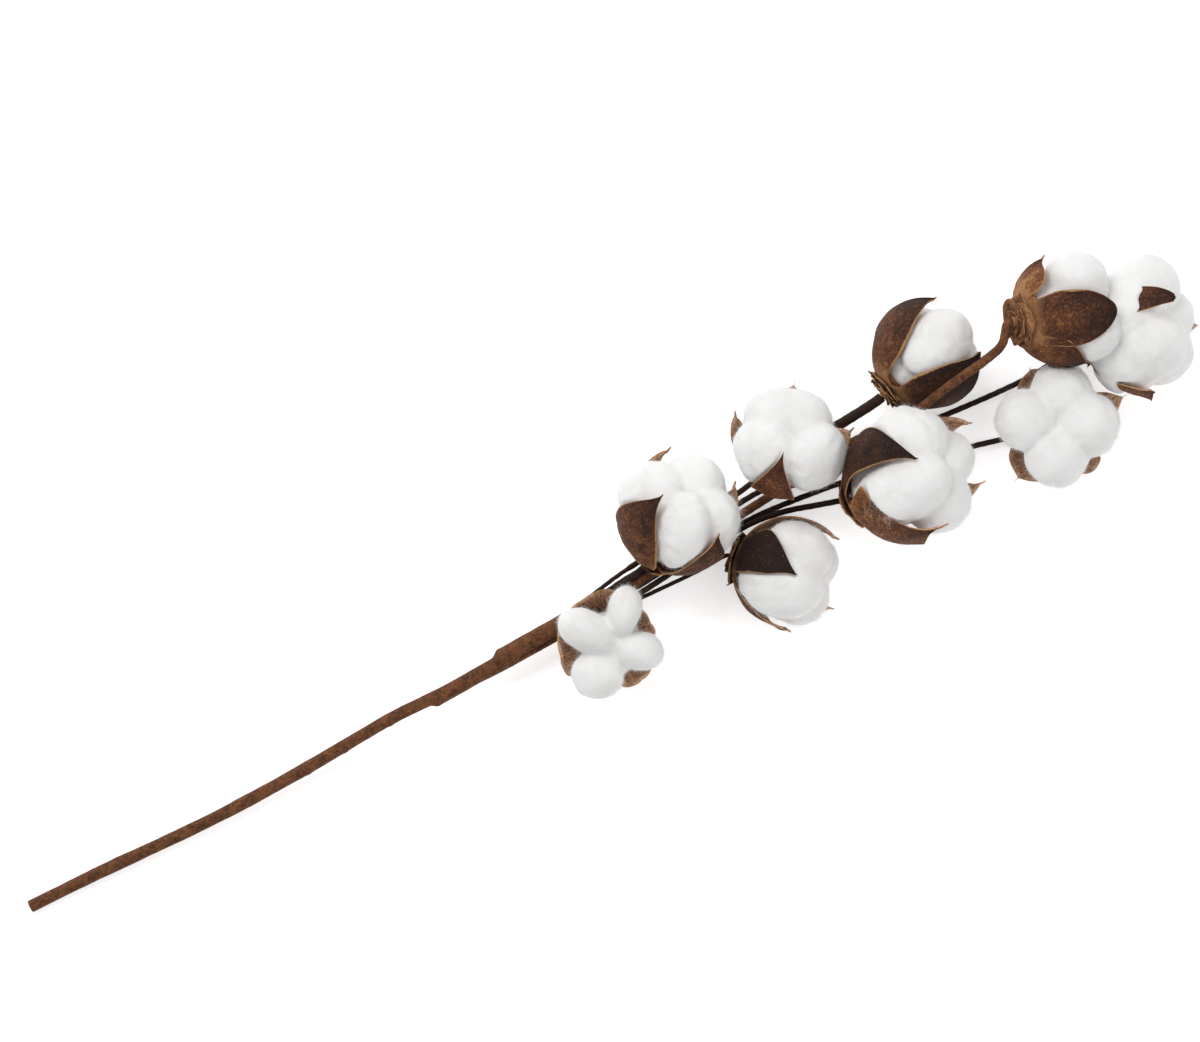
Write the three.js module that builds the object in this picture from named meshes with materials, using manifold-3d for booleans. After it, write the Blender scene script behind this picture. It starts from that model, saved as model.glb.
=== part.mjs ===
// A cotton stem bunch that lies on a table: nine opened cotton bolls, each on its own wire stick, bound
// with paper tape into one stem. Millimetres, +Z up, +X along the stem from its cut end to the top
// boll, z = 0 is the table.
import * as THREE from "three";
import { mergeVertices } from "three/addons/utils/BufferGeometryUtils.js";
import Module from "manifold-3d";

const wasm = await Module();
wasm.setup();

// Gap between pieces that touch.
const GAP = 0.3;

// Stem: the wire in the middle, and the tape round it in three stretches of growing width.
const STEM_WIRE_RADIUS = 1;
const TAPE_LOWER_RADIUS = 2.55;
const TAPE_MIDDLE_RADIUS = 3.15;
const TAPE_UPPER_RADIUS = 4.5;
const WIRE_BORE_RADIUS = STEM_WIRE_RADIUS + GAP;
const CUT_END_X = -265;
const TAPE_STEP = 10;
const TAPE_SIDES = 10;
const WIRE_BORE_SIDES = 8;
const RING_BORE_SIDES = 12;

// Sticks: thin wires, laid in a ring round the stem wire where the tape binds them.
const STICK_RADIUS = 0.85;
const APPROACH = 1.5;
const RING_RADIUS = 2.7;
const RING_BORE_RADIUS = RING_RADIUS + STICK_RADIUS + GAP;
const STICK_STEP = 8;
const STICK_SIDES = 6;
const STRETCH_OVERLAP = 0.004;

// Husks: the valves are thin curved blades round a ball as big as the boll, and spring from a shallow
// cup. Reaches are in degrees from the stick end.
const VALVE_THICKNESS = 1.1;
const EDGE_THICKNESS = 0.7;
const VALVE_ROWS = 4;
const VALVE_COLUMNS = 3;
const VALVE_START = 26;
const CUP_REACH = 35;
const CUP_DEPTH = 0.5;
const CUP_THICKNESS = 1.8;
const NECK_RADIUS = 1.9;
const NECK_LENGTH = 2.6;
const NECK_TAPER = 0.85;
const TIP_WIDTH = 0.045;

// Calyx: a thin collar round the foot of the cup, that leans off it. Its rim is drawn out into teeth.
// A husk that is swelled, to press cotton in, has less of a hollow under the collar.
const CALYX_ROOT = 16;
const CALYX_INNER_ROOT = 20;
const CALYX_SWELLED_ROOT = 27;
const CALYX_REACH = 33;
const CALYX_SCALLOP = 5;
const CALYX_TEETH = 5;
const CALYX_LEAN = 2.4;
const CALYX_THICKNESS = 0.8;
const COLUMNS_PER_TOOTH = 2;

// Cotton: round locks joined by a heart that is seated in the cup of the husk.
const LOCK_SEGMENTS = 10;
const LOCK_RINGS = 6;
const HEART_SEGMENTS = 8;
const HEART_RINGS = 5;
const HEART_SIZE = 0.66;
const HEART_DROP = 0.26;

const UP = new THREE.Vector3(0, 0, 1);
const ALONG = new THREE.Vector3(1, 0, 0);
// The axis that a lathed cup and a sphere are made round, before they are turned to the axis of their boll.
const BOLL_POLE = new THREE.Vector3(0, 1, 0);

// The middle of the stem, from the cut end to where the sticks fan out.
const STEM_LOWER = [
  [CUT_END_X, -10.3, 2.42], [-233, -10.7, 3.4], [-207, -11.6, 4.1], [-181, -12.2, 5], [-157, -11.8, 6],
  [-133.5, -10.8, 7.1], [-115, -9.6, 8.2], [-97, -8.6, 9.2], [-84, -8.8, 10],
];
const STEM_MIDDLE = [[-77, -9.2, 10.5], [-71, -9.4, 10.9], [-60.7, -9, 11.6], [-50.5, -8.5, 12.4]];
const STEM_UPPER = [[-45, -8, 12.8], [-38, -7.4, 13.2], [-29, -7, 13.7], [-20.5, -6.7, 14.2]];
const UPPER_TAPE_START = [-48.5, -8.3, 12.6];
const FAN_OUT = [-14, -6.4, 14.5];
// Where the bores in the tape run out past its two ends.
const BEFORE_CUT_END = [-270, -10.3, 2.3];
const PAST_FAN_OUT = [-8, -6, 14.9];
// Where the sticks begin, just clear of the closed end of their room in the tape.
const BOUND_START = [-44.4, -7.95, 12.83];

// Places round the stem wire in the bundle, in degrees from +Y towards +Z.
const LANE_TURN = { 1: 180, 2: 90, 3: 45, 4: 225, 5: 135, 6: 0, 7: 270, 9: 315 };

// The bolls, from the foot of the spray to its top. centre, radius and axis (from the stick to the
// face) place a boll. turn counts round the axis, and reach counts in degrees from the stick end (0) to
// the face (180). A valve ends at its reach, is half as wide as its width, both in degrees, leans away
// from the cotton by lean and curls its tip out by curl, in mm. taper above 1 makes it slender, below 1
// blunt. A lock's middle lies at its turn and reach, out boll radii from the boll's middle, and its size
// is its half-widths round the axis, along it and outward, in boll radii.
const BOLLS = [
  {
    name: 1, centre: [-3.9, -22.4, 35], radius: 20, axis: [0.04, -0.13, 0.99],
    valves: [
      { turn: 96, reach: 102, width: 34, lean: 5, curl: 0, taper: 0.9 },
      { turn: 4, reach: 98, width: 24, lean: -2, curl: 0, taper: 1.2 },
      { turn: -76, reach: 106, width: 27, lean: 0, curl: 1, taper: 1.2 },
      { turn: 164, reach: 106, width: 31, lean: 4, curl: 0, taper: 0.9 },
    ],
    locks: [
      { turn: 132, reach: 112, out: 0.6, size: [0.46, 0.52, 0.64] },
      { turn: 46, reach: 104, out: 0.78, size: [0.34, 0.54, 0.52] },
      { turn: -36, reach: 112, out: 0.6, size: [0.4, 0.48, 0.5] },
      { turn: -138, reach: 108, out: 0.66, size: [0.52, 0.5, 0.48] },
    ],
  },
  {
    name: 2, centre: [43.3, 12.6, 37], radius: 24.5, axis: [0.58, 0.41, 0.71],
    valves: [
      { turn: -32, reach: 136, width: 34, lean: 0, curl: 1 },
      { turn: -132, reach: 128, width: 20, lean: 0, curl: 1 },
      { turn: 132, reach: 128, width: 20, lean: 0, curl: 1 },
      { turn: 52, reach: 120, width: 27, lean: 1, curl: 1 },
    ],
    locks: [
      { turn: -84, reach: 108, out: 0.54, size: [0.62, 0.6, 0.56] },
      { turn: 178, reach: 122, out: 0.54, size: [0.56, 0.58, 0.56] },
      { turn: 22, reach: 112, out: 0.52, size: [0.5, 0.66, 0.56] },
      { turn: 94, reach: 112, out: 0.56, size: [0.5, 0.6, 0.54] },
    ],
  },
  {
    name: 3, centre: [96.1, 17.9, 36], radius: 22.5, axis: [0.25, 0.33, 0.91],
    valves: [
      { turn: -132, reach: 144, width: 27, lean: 0, curl: 1, taper: 1.4 },
      { turn: 134, reach: 114, width: 18, lean: 3, curl: 2 },
      { turn: -16, reach: 120, width: 20, lean: 2, curl: 2 },
      { turn: 60, reach: 118, width: 20, lean: 2, curl: 4 },
    ],
    locks: [
      { turn: -176, reach: 114, out: 0.54, size: [0.58, 0.62, 0.54] },
      { turn: -76, reach: 112, out: 0.54, size: [0.56, 0.6, 0.54] },
      { turn: 98, reach: 112, out: 0.56, size: [0.58, 0.56, 0.54] },
      { turn: 20, reach: 112, out: 0.56, size: [0.56, 0.56, 0.54] },
    ],
  },
  {
    name: 4, centre: [73, -28.5, 22.71], radius: 22.5, axis: [0.69, -0.63, 0.35],
    valves: [
      { turn: 0, reach: 116, width: 33, lean: 0, curl: 0 },
      { turn: 84, reach: 106, width: 30, lean: 0, curl: 1 },
      { turn: -102, reach: 126, width: 28, lean: 0, curl: 1 },
      { turn: 152, reach: 126, width: 24, lean: 2, curl: 1 },
    ],
    locks: [
      { turn: -58, reach: 108, out: 0.52, size: [0.52, 0.64, 0.54] },
      { turn: 34, reach: 106, out: 0.5, size: [0.6, 0.62, 0.54] },
      { turn: -140, reach: 112, out: 0.52, size: [0.54, 0.58, 0.52] },
      { turn: 130, reach: 114, out: 0.52, size: [0.54, 0.58, 0.52] },
    ],
  },
  {
    name: 5, centre: [132.8, -16.4, 42], radius: 26.5, axis: [0.79, -0.1, 0.6],
    valves: [
      { turn: -20, reach: 134, width: 29, lean: 0, curl: 0 },
      { turn: 62, reach: 114, width: 44, lean: 1, curl: 2, taper: 0.6 },
      { turn: -146, reach: 136, width: 16, lean: 4, curl: 2 },
      { turn: 150, reach: 126, width: 18, lean: 2, curl: 1 },
    ],
    locks: [
      { turn: -86, reach: 116, out: 0.58, size: [0.62, 0.62, 0.54] },
      { turn: 8, reach: 112, out: 0.52, size: [0.46, 0.64, 0.54] },
      { turn: -172, reach: 132, out: 0.58, size: [0.46, 0.5, 0.52] },
      { turn: 98, reach: 126, out: 0.54, size: [0.5, 0.54, 0.54] },
    ],
  },
  {
    name: 6, centre: [163.6, 24.6, 22], radius: 22.5, axis: [0.96, 0.28, 0.02],
    valves: [
      { turn: -62, reach: 136, width: 36, lean: 1, curl: 0 },
      { turn: 50, reach: 130, width: 38, lean: 1, curl: 0 },
      { turn: 138, reach: 118, width: 30, lean: 0, curl: 0 },
      { turn: -146, reach: 118, width: 30, lean: 0, curl: 0 },
    ],
    locks: [
      { turn: -4, reach: 120, out: 0.48, size: [0.6, 0.78, 0.52] },
      { turn: 96, reach: 116, out: 0.44, size: [0.48, 0.56, 0.52] },
      { turn: -108, reach: 112, out: 0.4, size: [0.46, 0.54, 0.5] },
      { turn: 176, reach: 116, out: 0.535, size: [0.52, 0.58, 0.56] },
    ],
  },
  {
    name: 7, centre: [196.6, -25, 30], radius: 23, axis: [-0.07, 0.09, 0.99],
    valves: [
      { turn: 98, reach: 112, width: 26, lean: 2, curl: 1, taper: 1.3 },
      { turn: 2, reach: 98, width: 18, lean: 5, curl: 0, taper: 1.3 },
      { turn: -76, reach: 112, width: 18, lean: 1, curl: 1 },
      { turn: -160, reach: 108, width: 32, lean: 3, curl: 0, taper: 0.9 },
    ],
    locks: [
      { turn: 146, reach: 124, out: 0.68, size: [0.54, 0.54, 0.54] },
      { turn: 54, reach: 106, out: 0.66, size: [0.46, 0.54, 0.54] },
      { turn: -26, reach: 110, out: 0.6, size: [0.52, 0.54, 0.56] },
      { turn: -116, reach: 110, out: 0.6, size: [0.5, 0.54, 0.56] },
    ],
  },
  {
    name: 8, centre: [219.5, 15, 41], radius: 22.5, axis: [0.88, -0.22, -0.42],
    valves: [
      { turn: 12, reach: 120, width: 31, lean: 1, curl: 0 },
      { turn: -78, reach: 76, width: 27, lean: 0, curl: 1 },
      { turn: 84, reach: 98, width: 40, lean: 0, curl: 0, taper: 0.9 },
      { turn: 172, reach: 96, width: 30, lean: 0, curl: 0 },
    ],
    locks: [
      { turn: -56, reach: 110, out: 0.56, size: [0.6, 0.62, 0.54] },
      { turn: 54, reach: 116, out: 0.56, size: [0.6, 0.6, 0.56] },
      { turn: -132, reach: 112, out: 0.48, size: [0.52, 0.56, 0.52] },
      { turn: 128, reach: 112, out: 0.48, size: [0.52, 0.56, 0.52] },
    ],
  },
  {
    name: 9, centre: [245.9, -5.7, 25.6], radius: 25.5, axis: [0.8, -0.3, 0.5],
    valves: [
      { turn: -28, reach: 138, width: 20, lean: 0, curl: 3, taper: 0.7 },
      { turn: 66, reach: 108, width: 40, lean: 4, curl: 0, taper: 0.6 },
      { turn: 178, reach: 114, width: 30, lean: 3, curl: 0 },
      { turn: -134, reach: 106, width: 26, lean: 0, curl: 0 },
    ],
    locks: [
      { turn: -92, reach: 100, out: 0.64, size: [0.56, 0.56, 0.54] },
      { turn: 34, reach: 120, out: 0.54, size: [0.58, 0.6, 0.54] },
      { turn: 118, reach: 110, out: 0.5, size: [0.52, 0.54, 0.52] },
      { turn: -166, reach: 108, out: 0.5, size: [0.52, 0.54, 0.5] },
      { turn: -30, reach: 78, out: 0.6, size: [0.5, 0.6, 0.46] },
    ],
  },
];

// The free run of each stick, from the bundle to the approach to its boll. thicker lists where more
// paper is wound on the wire: from that share of the route's length on, the stick has that radius.
const STICK_ROUTES = {
  1: {
    points: [[-11.5, -9.4, 14.5], [-8.5, -11.8, 13.4], [-6.4, -15.6, 10.6]],
    thicker: [],
  },
  2: {
    points: [[0, -4.9, 18.3], [12, -2.4, 17.6], [21, -0.6, 16]],
    thicker: [{ from: 0.6, radius: 1.3 }],
  },
  3: {
    points: [[0, -3, 15.6], [12, -1.5, 14.2], [25, -0.4, 12], [40, 1.6, 9.4], [70, 5.2, 7.4],
      [83, 6, 6.8], [87.4, 7.2, 8.2]],
    thicker: [{ from: 0.34, radius: 1.15 }],
  },
  4: {
    points: [[-9, -8.2, 12.7], [0, -9.1, 12], [12, -10.8, 12], [25, -11.4, 12], [42, -11.8, 12]],
    thicker: [],
  },
  5: {
    points: [[-7, -8.7, 16], [0, -9.2, 15.6], [12, -9.2, 15.2], [25, -8.2, 14], [40, -6.2, 12.8],
      [70, -4.4, 13], [84, -6.4, 14.4], [98, -10.4, 19.2]],
    thicker: [{ from: 0.34, radius: 1.2 }],
  },
  6: {
    points: [[0, -0.6, 13.9], [12, 1.5, 13.3], [25, 2.9, 10.6], [40, 5, 7.8], [70, 9, 7.2],
      [95, 13.4, 6.6], [110, 14.8, 9], [122, 15.4, 14.6]],
    thicker: [{ from: 0.32, radius: 1.15 }, { from: 0.84, radius: 2.1 }],
  },
  7: {
    points: [[0, -6.6, 10.8], [12, -6.6, 9.8], [25, -5.6, 8.6], [40, -4.6, 7.2], [70, -2.8, 7.6],
      [95, -4.6, 7], [120, -8, 5.6], [147, -13.5, 4.2], [176, -20.4, 3.2], [191, -24.6, 2.6]],
    thicker: [{ from: 0.22, radius: 1.15 }],
  },
  8: {
    points: [[0, -6.1, 14.4], [12, -5.2, 13.8], [25, -4, 12.8], [40, -2.2, 11.4], [70, 1, 11],
      [84, 2.4, 10.4], [100, 4.6, 9.8], [116, 6.4, 12.2], [130, 6.2, 18], [139, 6, 24.6],
      [147.5, 6, 33.4], [156, 7.6, 42.6], [165, 9.4, 47.2], [181.7, 11.9, 50], [190, 14.4, 51.6]],
    thicker: [{ from: 0.53, radius: 1.8 }],
  },
  9: {
    points: [[0, -3.8, 11.4], [12, -2.8, 10.2], [25, -1.6, 8.2], [40, 0.4, 6], [70, 1.2, 3.6],
      [95, 2.4, 3.4], [120, 3.4, 3.2], [160, -1, 3], [202, -2.6, 3.4], [216, 0, 6.4]],
    thicker: [{ from: 0.22, radius: 1.15 }],
  },
};

// Materials, one for each kind of piece.
const cottonWhite = () => new THREE.MeshStandardMaterial({ color: 0xf2f0ec, roughness: 0.95, metalness: 0 });
const huskBrown = () => new THREE.MeshStandardMaterial({ color: 0x5a3622, roughness: 0.8, metalness: 0 });
const paperTape = () => new THREE.MeshStandardMaterial({ color: 0x6e442d, roughness: 0.85, metalness: 0 });
const darkPaper = () => new THREE.MeshStandardMaterial({ color: 0x3a2419, roughness: 0.8, metalness: 0 });
const steelWire = () => new THREE.MeshStandardMaterial({ color: 0x4a3a30, roughness: 0.6, metalness: 0.4 });

const vector = (numbers) => new THREE.Vector3(...numbers);
const radians = THREE.MathUtils.degToRad;

// A closed geometry as a solid, and a solid as a geometry.
function solidOf(geometry) {
  const bare = geometry.clone();
  bare.deleteAttribute("normal");
  bare.deleteAttribute("uv");
  const merged = mergeVertices(bare, 1e-4);
  return new wasm.Manifold(new wasm.Mesh({
    numProp: 3,
    vertProperties: new Float32Array(merged.attributes.position.array),
    triVerts: new Uint32Array(merged.index.array),
  }));
}

function geometryOf(solid) {
  const mesh = solid.getMesh();
  const geometry = new THREE.BufferGeometry();
  geometry.setAttribute("position", new THREE.BufferAttribute(mesh.vertProperties, 3));
  geometry.setIndex(new THREE.BufferAttribute(mesh.triVerts, 1));
  return geometry;
}

const joined = (solids) => solids.reduce((whole, solid) => whole.add(solid));

// The outer surface of the largest body: loose scraps that a cut leaves are dropped, and sealed pockets
// are filled.
const largestBody = (solid) => solid.decompose().reduce((a, b) => (a.volume() > b.volume() ? a : b));

// A round rod along a smooth curve.
function rod(points, radius, sides, step) {
  const route = new THREE.CatmullRomCurve3(points, false, "centripetal");
  const section = new THREE.Shape(Array.from({ length: sides }, (_, i) => {
    const angle = (2 * Math.PI * i) / sides;
    return new THREE.Vector2(radius * Math.cos(angle), radius * Math.sin(angle));
  }));
  return new THREE.ExtrudeGeometry(section, {
    steps: Math.max(1, Math.round(route.getLength() / step)), bevelEnabled: false, extrudePath: route,
  });
}

// The axes of a boll: its own axis, and two across it. Turn 0 is its upper side, or +X on a boll that
// looks up.
function axesOf(boll) {
  const axis = vector(boll.axis).normalize();
  const start = Math.abs(axis.z) < 0.9 ? UP : ALONG;
  const first = start.clone().addScaledVector(axis, -start.dot(axis)).normalize();
  return { axis, first, second: new THREE.Vector3().crossVectors(axis, first) };
}

// The direction from a boll's middle at a turn and a reach, and the ones along and across the meridian
// there.
function compass(boll, turn, reach) {
  const { axis, first, second } = axesOf(boll);
  const side = first.clone().multiplyScalar(Math.cos(turn)).addScaledVector(second, Math.sin(turn));
  const out = side.clone().multiplyScalar(Math.sin(reach)).addScaledVector(axis, -Math.cos(reach));
  const along = side.clone().multiplyScalar(Math.cos(reach)).addScaledVector(axis, Math.sin(reach));
  return { out, along, across: new THREE.Vector3().crossVectors(axis, side) };
}

// A closed blade between an outer and an inner face, which give the point at a row and a column.
function blade(rows, columns, outerFace, innerFace) {
  const perFace = (rows + 1) * (columns + 1);
  const at = (row, column) => row * (columns + 1) + column;
  const positions = [];
  for (const face of [outerFace, innerFace]) {
    for (let row = 0; row <= rows; row++) {
      for (let column = 0; column <= columns; column++) positions.push(...face(row, column).toArray());
    }
  }
  const index = [];
  const edge = (from, to) => index.push(to, from, from + perFace, to, from + perFace, to + perFace);
  for (let row = 0; row < rows; row++) {
    for (let column = 0; column < columns; column++) {
      const [a, b] = [at(row, column), at(row, column + 1)];
      const [d, c] = [at(row + 1, column), at(row + 1, column + 1)];
      index.push(a, b, c, a, c, d);
      index.push(a + perFace, c + perFace, b + perFace, a + perFace, d + perFace, c + perFace);
    }
    edge(at(row, columns), at(row + 1, columns));
    edge(at(row + 1, 0), at(row, 0));
  }
  for (let column = 0; column < columns; column++) {
    edge(at(0, column), at(0, column + 1));
    edge(at(rows, column + 1), at(rows, column));
  }
  const geometry = new THREE.BufferGeometry();
  geometry.setAttribute("position", new THREE.Float32BufferAttribute(positions, 3));
  geometry.setIndex(index);
  return geometry;
}

// How wide a valve is at t along it, as a share of its width: broadest below its middle, drawn out to a
// narrow tip.
const valveWidth = (t, taper) => Math.max(TIP_WIDTH, (1.37 * (0.4 + 1.9 * t) * (1 - t)) ** taper);

// One valve of a husk, as a blade on a ball round the boll's middle. swell makes it thicker all round.
function valve(boll, { turn, reach, width, lean, curl, taper = 1 }, swell) {
  const grow = swell / boll.radius;
  const start = radians(VALVE_START) - grow;
  const end = radians(reach) + grow;
  const face = (side) => (row, column) => {
    const t = row / VALVE_ROWS;
    const s = (2 * column) / VALVE_COLUMNS - 1;
    const { out, across } = compass(boll, radians(turn), start + (end - start) * t);
    const aside = s * (radians(width) * valveWidth(t, taper) + grow);
    const direction = out.clone().multiplyScalar(Math.cos(aside)).addScaledVector(across, Math.sin(aside));
    const thickness = THREE.MathUtils.lerp(VALVE_THICKNESS, EDGE_THICKNESS, Math.max(Math.abs(s), t ** 3));
    const middle = boll.radius + lean * t * t + curl * THREE.MathUtils.smoothstep(t, 0.7, 1) - thickness / 2;
    return direction.multiplyScalar(middle + side * (thickness / 2 + swell)).add(vector(boll.centre));
  };
  return solidOf(blade(VALVE_ROWS, VALVE_COLUMNS, face(1), face(-1)));
}

// The cup that the valves spring from, with the collar of the calyx round it and the neck that sits on
// the stick.
function cup(boll, swell) {
  const outside = boll.radius - CUP_DEPTH + swell;
  const inside = boll.radius - CUP_DEPTH - CUP_THICKNESS - swell;
  const lean = boll.radius + CALYX_LEAN;
  const innerRoot = swell > 0 ? CALYX_SWELLED_ROOT : CALYX_INNER_ROOT;
  const neck = NECK_RADIUS + swell;
  const end = -boll.radius - NECK_LENGTH - swell;
  const grow = THREE.MathUtils.radToDeg(swell / boll.radius);
  const arc = (radius, reach) => [radius * Math.sin(radians(reach)), -radius * Math.cos(radians(reach))];
  const profile = [
    [0, end], [neck * NECK_TAPER, end], [neck, -boll.radius - 1],
    arc(boll.radius + CALYX_THICKNESS + swell, CALYX_ROOT), arc(lean + swell, CALYX_REACH),
    arc(lean - CALYX_THICKNESS - swell, CALYX_REACH), arc(outside, innerRoot),
    arc(outside, CUP_REACH + grow), arc(inside, CUP_REACH + grow), [0, -inside],
  ].map(([x, y]) => new THREE.Vector2(x, y));
  const geometry = new THREE.LatheGeometry(profile, CALYX_TEETH * COLUMNS_PER_TOOTH);
  const { position } = geometry.attributes;
  const rim = [4, 5];
  const point = new THREE.Vector3();
  for (let i = 0; i < position.count; i++) {
    if (!rim.includes(i % profile.length)) continue;
    point.fromBufferAttribute(position, i);
    const turn = Math.atan2(point.z, point.x);
    const tooth = CALYX_SCALLOP * Math.cos(CALYX_TEETH * turn) + grow;
    const [across, along] = arc(point.length(), CALYX_REACH + tooth);
    position.setXYZ(i, across * Math.cos(turn), along, across * Math.sin(turn));
  }
  geometry.applyQuaternion(new THREE.Quaternion().setFromUnitVectors(BOLL_POLE, axesOf(boll).axis));
  geometry.translate(...boll.centre);
  return solidOf(geometry);
}

// The husk, which grew as one piece.
function husk(boll, swell = 0) {
  const valves = boll.valves.map((one) => valve(boll, one, swell));
  return largestBody(joined([cup(boll, swell), ...valves]));
}

// The cotton: egg-shaped locks round a heart. swell makes them larger all round.
function locks(boll, swell = 0) {
  const eggs = boll.locks.map(({ turn, reach, out, size }) => {
    const frame = compass(boll, radians(turn), radians(reach));
    const egg = new THREE.SphereGeometry(1, LOCK_SEGMENTS, LOCK_RINGS);
    egg.scale(...size.map((share) => share * boll.radius + swell));
    egg.applyMatrix4(new THREE.Matrix4().makeBasis(frame.across, frame.along, frame.out));
    egg.translate(...vector(boll.centre).addScaledVector(frame.out, out * boll.radius).toArray());
    return solidOf(egg);
  });
  const { axis } = axesOf(boll);
  const heart = new THREE.SphereGeometry(boll.radius * HEART_SIZE + swell, HEART_SEGMENTS, HEART_RINGS);
  heart.applyQuaternion(new THREE.Quaternion().setFromUnitVectors(BOLL_POLE, axis));
  heart.translate(...vector(boll.centre).addScaledVector(axis, -HEART_DROP * boll.radius).toArray());
  return joined([solidOf(heart), ...eggs]);
}

// The cotton of a boll, pressed in by its husk, by the table and by what lies against it.
function cotton(boll, pressedBy) {
  const reach = 2 * boll.radius;
  const table = new THREE.BoxGeometry(2 * reach, 2 * reach, reach);
  table.translate(boll.centre[0], boll.centre[1], -reach / 2);
  const presses = [husk(boll, GAP), solidOf(table), ...pressedBy];
  return largestBody(presses.reduce((mass, solid) => mass.subtract(solid), locks(boll)));
}

// Where a stick meets the neck of its boll.
function footOf(boll) {
  return vector(boll.centre).addScaledVector(axesOf(boll).axis, -boll.radius - NECK_LENGTH - GAP);
}

// The route of a stick: its stretch in the bundle, its free run, and its approach along the boll's
// axis.
function stickRoute(boll) {
  const turn = LANE_TURN[boll.name];
  const lane = turn === undefined ? new THREE.Vector3() : new THREE.Vector3(
    0, RING_RADIUS * Math.cos(radians(turn)), RING_RADIUS * Math.sin(radians(turn)));
  const bound = [BOUND_START, ...STEM_UPPER.slice(1), FAN_OUT].map((point) => vector(point).add(lane));
  const foot = footOf(boll);
  const approach = foot.clone().addScaledVector(axesOf(boll).axis, -APPROACH);
  return [...bound, ...STICK_ROUTES[boll.name].points.map(vector), approach, foot];
}

// A stick: one rod for each stretch of its route that has a radius of its own.
function stick(boll, before = [], wireRadius = STICK_RADIUS, swell = 0) {
  const route = new THREE.CatmullRomCurve3([...before, ...stickRoute(boll)], false, "centripetal");
  const stretches = [{ from: 0, radius: wireRadius }, ...STICK_ROUTES[boll.name].thicker];
  const rods = stretches.map(({ from, radius }, i) => {
    const to = i + 1 < stretches.length ? stretches[i + 1].from + STRETCH_OVERLAP : 1;
    const count = Math.ceil(((to - from) * route.getLength()) / STICK_STEP);
    const points = Array.from({ length: count + 1 }, (_, step) => (
      route.getPointAt(THREE.MathUtils.lerp(from, to, step / count))));
    if (to === 1) points.splice(-1, 0, route.points.at(-2));
    return solidOf(rod(points, radius + swell, STICK_SIDES, STICK_STEP));
  });
  return joined(rods);
}

// The tape: three stretches wound round the wires, with the room that the wires take up.
function stemTape() {
  const lower = [...STEM_LOWER, ...STEM_MIDDLE.slice(0, 2)].map(vector);
  const middle = [...STEM_MIDDLE, STEM_UPPER[0]].map(vector);
  const upper = [UPPER_TAPE_START, ...STEM_UPPER, FAN_OUT].map(vector);
  const wrap = (points, radius) => solidOf(rod(points, radius, TAPE_SIDES, TAPE_STEP));
  const outside = joined([
    wrap(lower, TAPE_LOWER_RADIUS), wrap(middle, TAPE_MIDDLE_RADIUS), wrap(upper, TAPE_UPPER_RADIUS),
  ]);
  const wireRoute = [BEFORE_CUT_END, ...STEM_LOWER.slice(1), ...STEM_MIDDLE, ...STEM_UPPER].map(vector);
  const wireBore = solidOf(rod(wireRoute, WIRE_BORE_RADIUS, WIRE_BORE_SIDES, TAPE_STEP));
  const ringRoute = [...STEM_UPPER, FAN_OUT, PAST_FAN_OUT].map(vector);
  const ringBore = solidOf(rod(ringRoute, RING_BORE_RADIUS, RING_BORE_SIDES, TAPE_STEP));
  return outside.subtract(wireBore).subtract(ringBore);
}

const spray = new THREE.Group();

function place(name, solid, material) {
  const mesh = new THREE.Mesh(geometryOf(solid), material);
  mesh.name = name;
  spray.add(mesh);
}

const topBoll = BOLLS[7];
const stemWireStart = [...STEM_LOWER, ...STEM_MIDDLE].map(vector);
place("stem_tape", stemTape(), paperTape());
place("stem_wire", stick(topBoll, stemWireStart, STEM_WIRE_RADIUS), steelWire());
for (const boll of BOLLS) {
  if (boll !== topBoll) place(`stick_${boll.name}`, stick(boll), darkPaper());
  place(`husk_${boll.name}`, husk(boll), huskBrown());
}

// What lies against the cotton of a boll and presses it in.
const topStick = () => stick(topBoll, stemWireStart, STEM_WIRE_RADIUS, GAP);
const PRESSED_BY = {
  7: () => [husk(topBoll, GAP)],
  8: () => [husk(BOLLS[8], 2 * GAP)],
  9: () => [husk(topBoll, GAP), locks(topBoll, GAP)],
  5: () => [topStick()],
  6: () => [topStick()],
};
for (const boll of BOLLS) {
  place(`cotton_${boll.name}`, cotton(boll, (PRESSED_BY[boll.name] ?? (() => []))()), cottonWhite());
}

export default spray;
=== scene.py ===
import math
import typing
import bpy
import numpy as np
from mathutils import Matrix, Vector
from mathutils.bvhtree import BVHTree


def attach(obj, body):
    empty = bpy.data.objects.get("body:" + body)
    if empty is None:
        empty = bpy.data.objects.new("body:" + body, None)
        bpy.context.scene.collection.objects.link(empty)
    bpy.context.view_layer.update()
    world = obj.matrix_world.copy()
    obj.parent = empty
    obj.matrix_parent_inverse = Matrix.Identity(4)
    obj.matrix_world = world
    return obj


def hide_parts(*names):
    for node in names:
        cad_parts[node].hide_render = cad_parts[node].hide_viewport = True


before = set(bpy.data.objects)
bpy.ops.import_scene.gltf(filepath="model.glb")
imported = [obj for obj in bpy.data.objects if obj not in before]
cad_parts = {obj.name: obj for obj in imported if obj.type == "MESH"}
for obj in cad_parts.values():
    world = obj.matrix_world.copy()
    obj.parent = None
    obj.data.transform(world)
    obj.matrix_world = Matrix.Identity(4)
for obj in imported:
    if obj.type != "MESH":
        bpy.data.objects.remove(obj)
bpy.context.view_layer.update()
MM = 0.001

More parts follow.
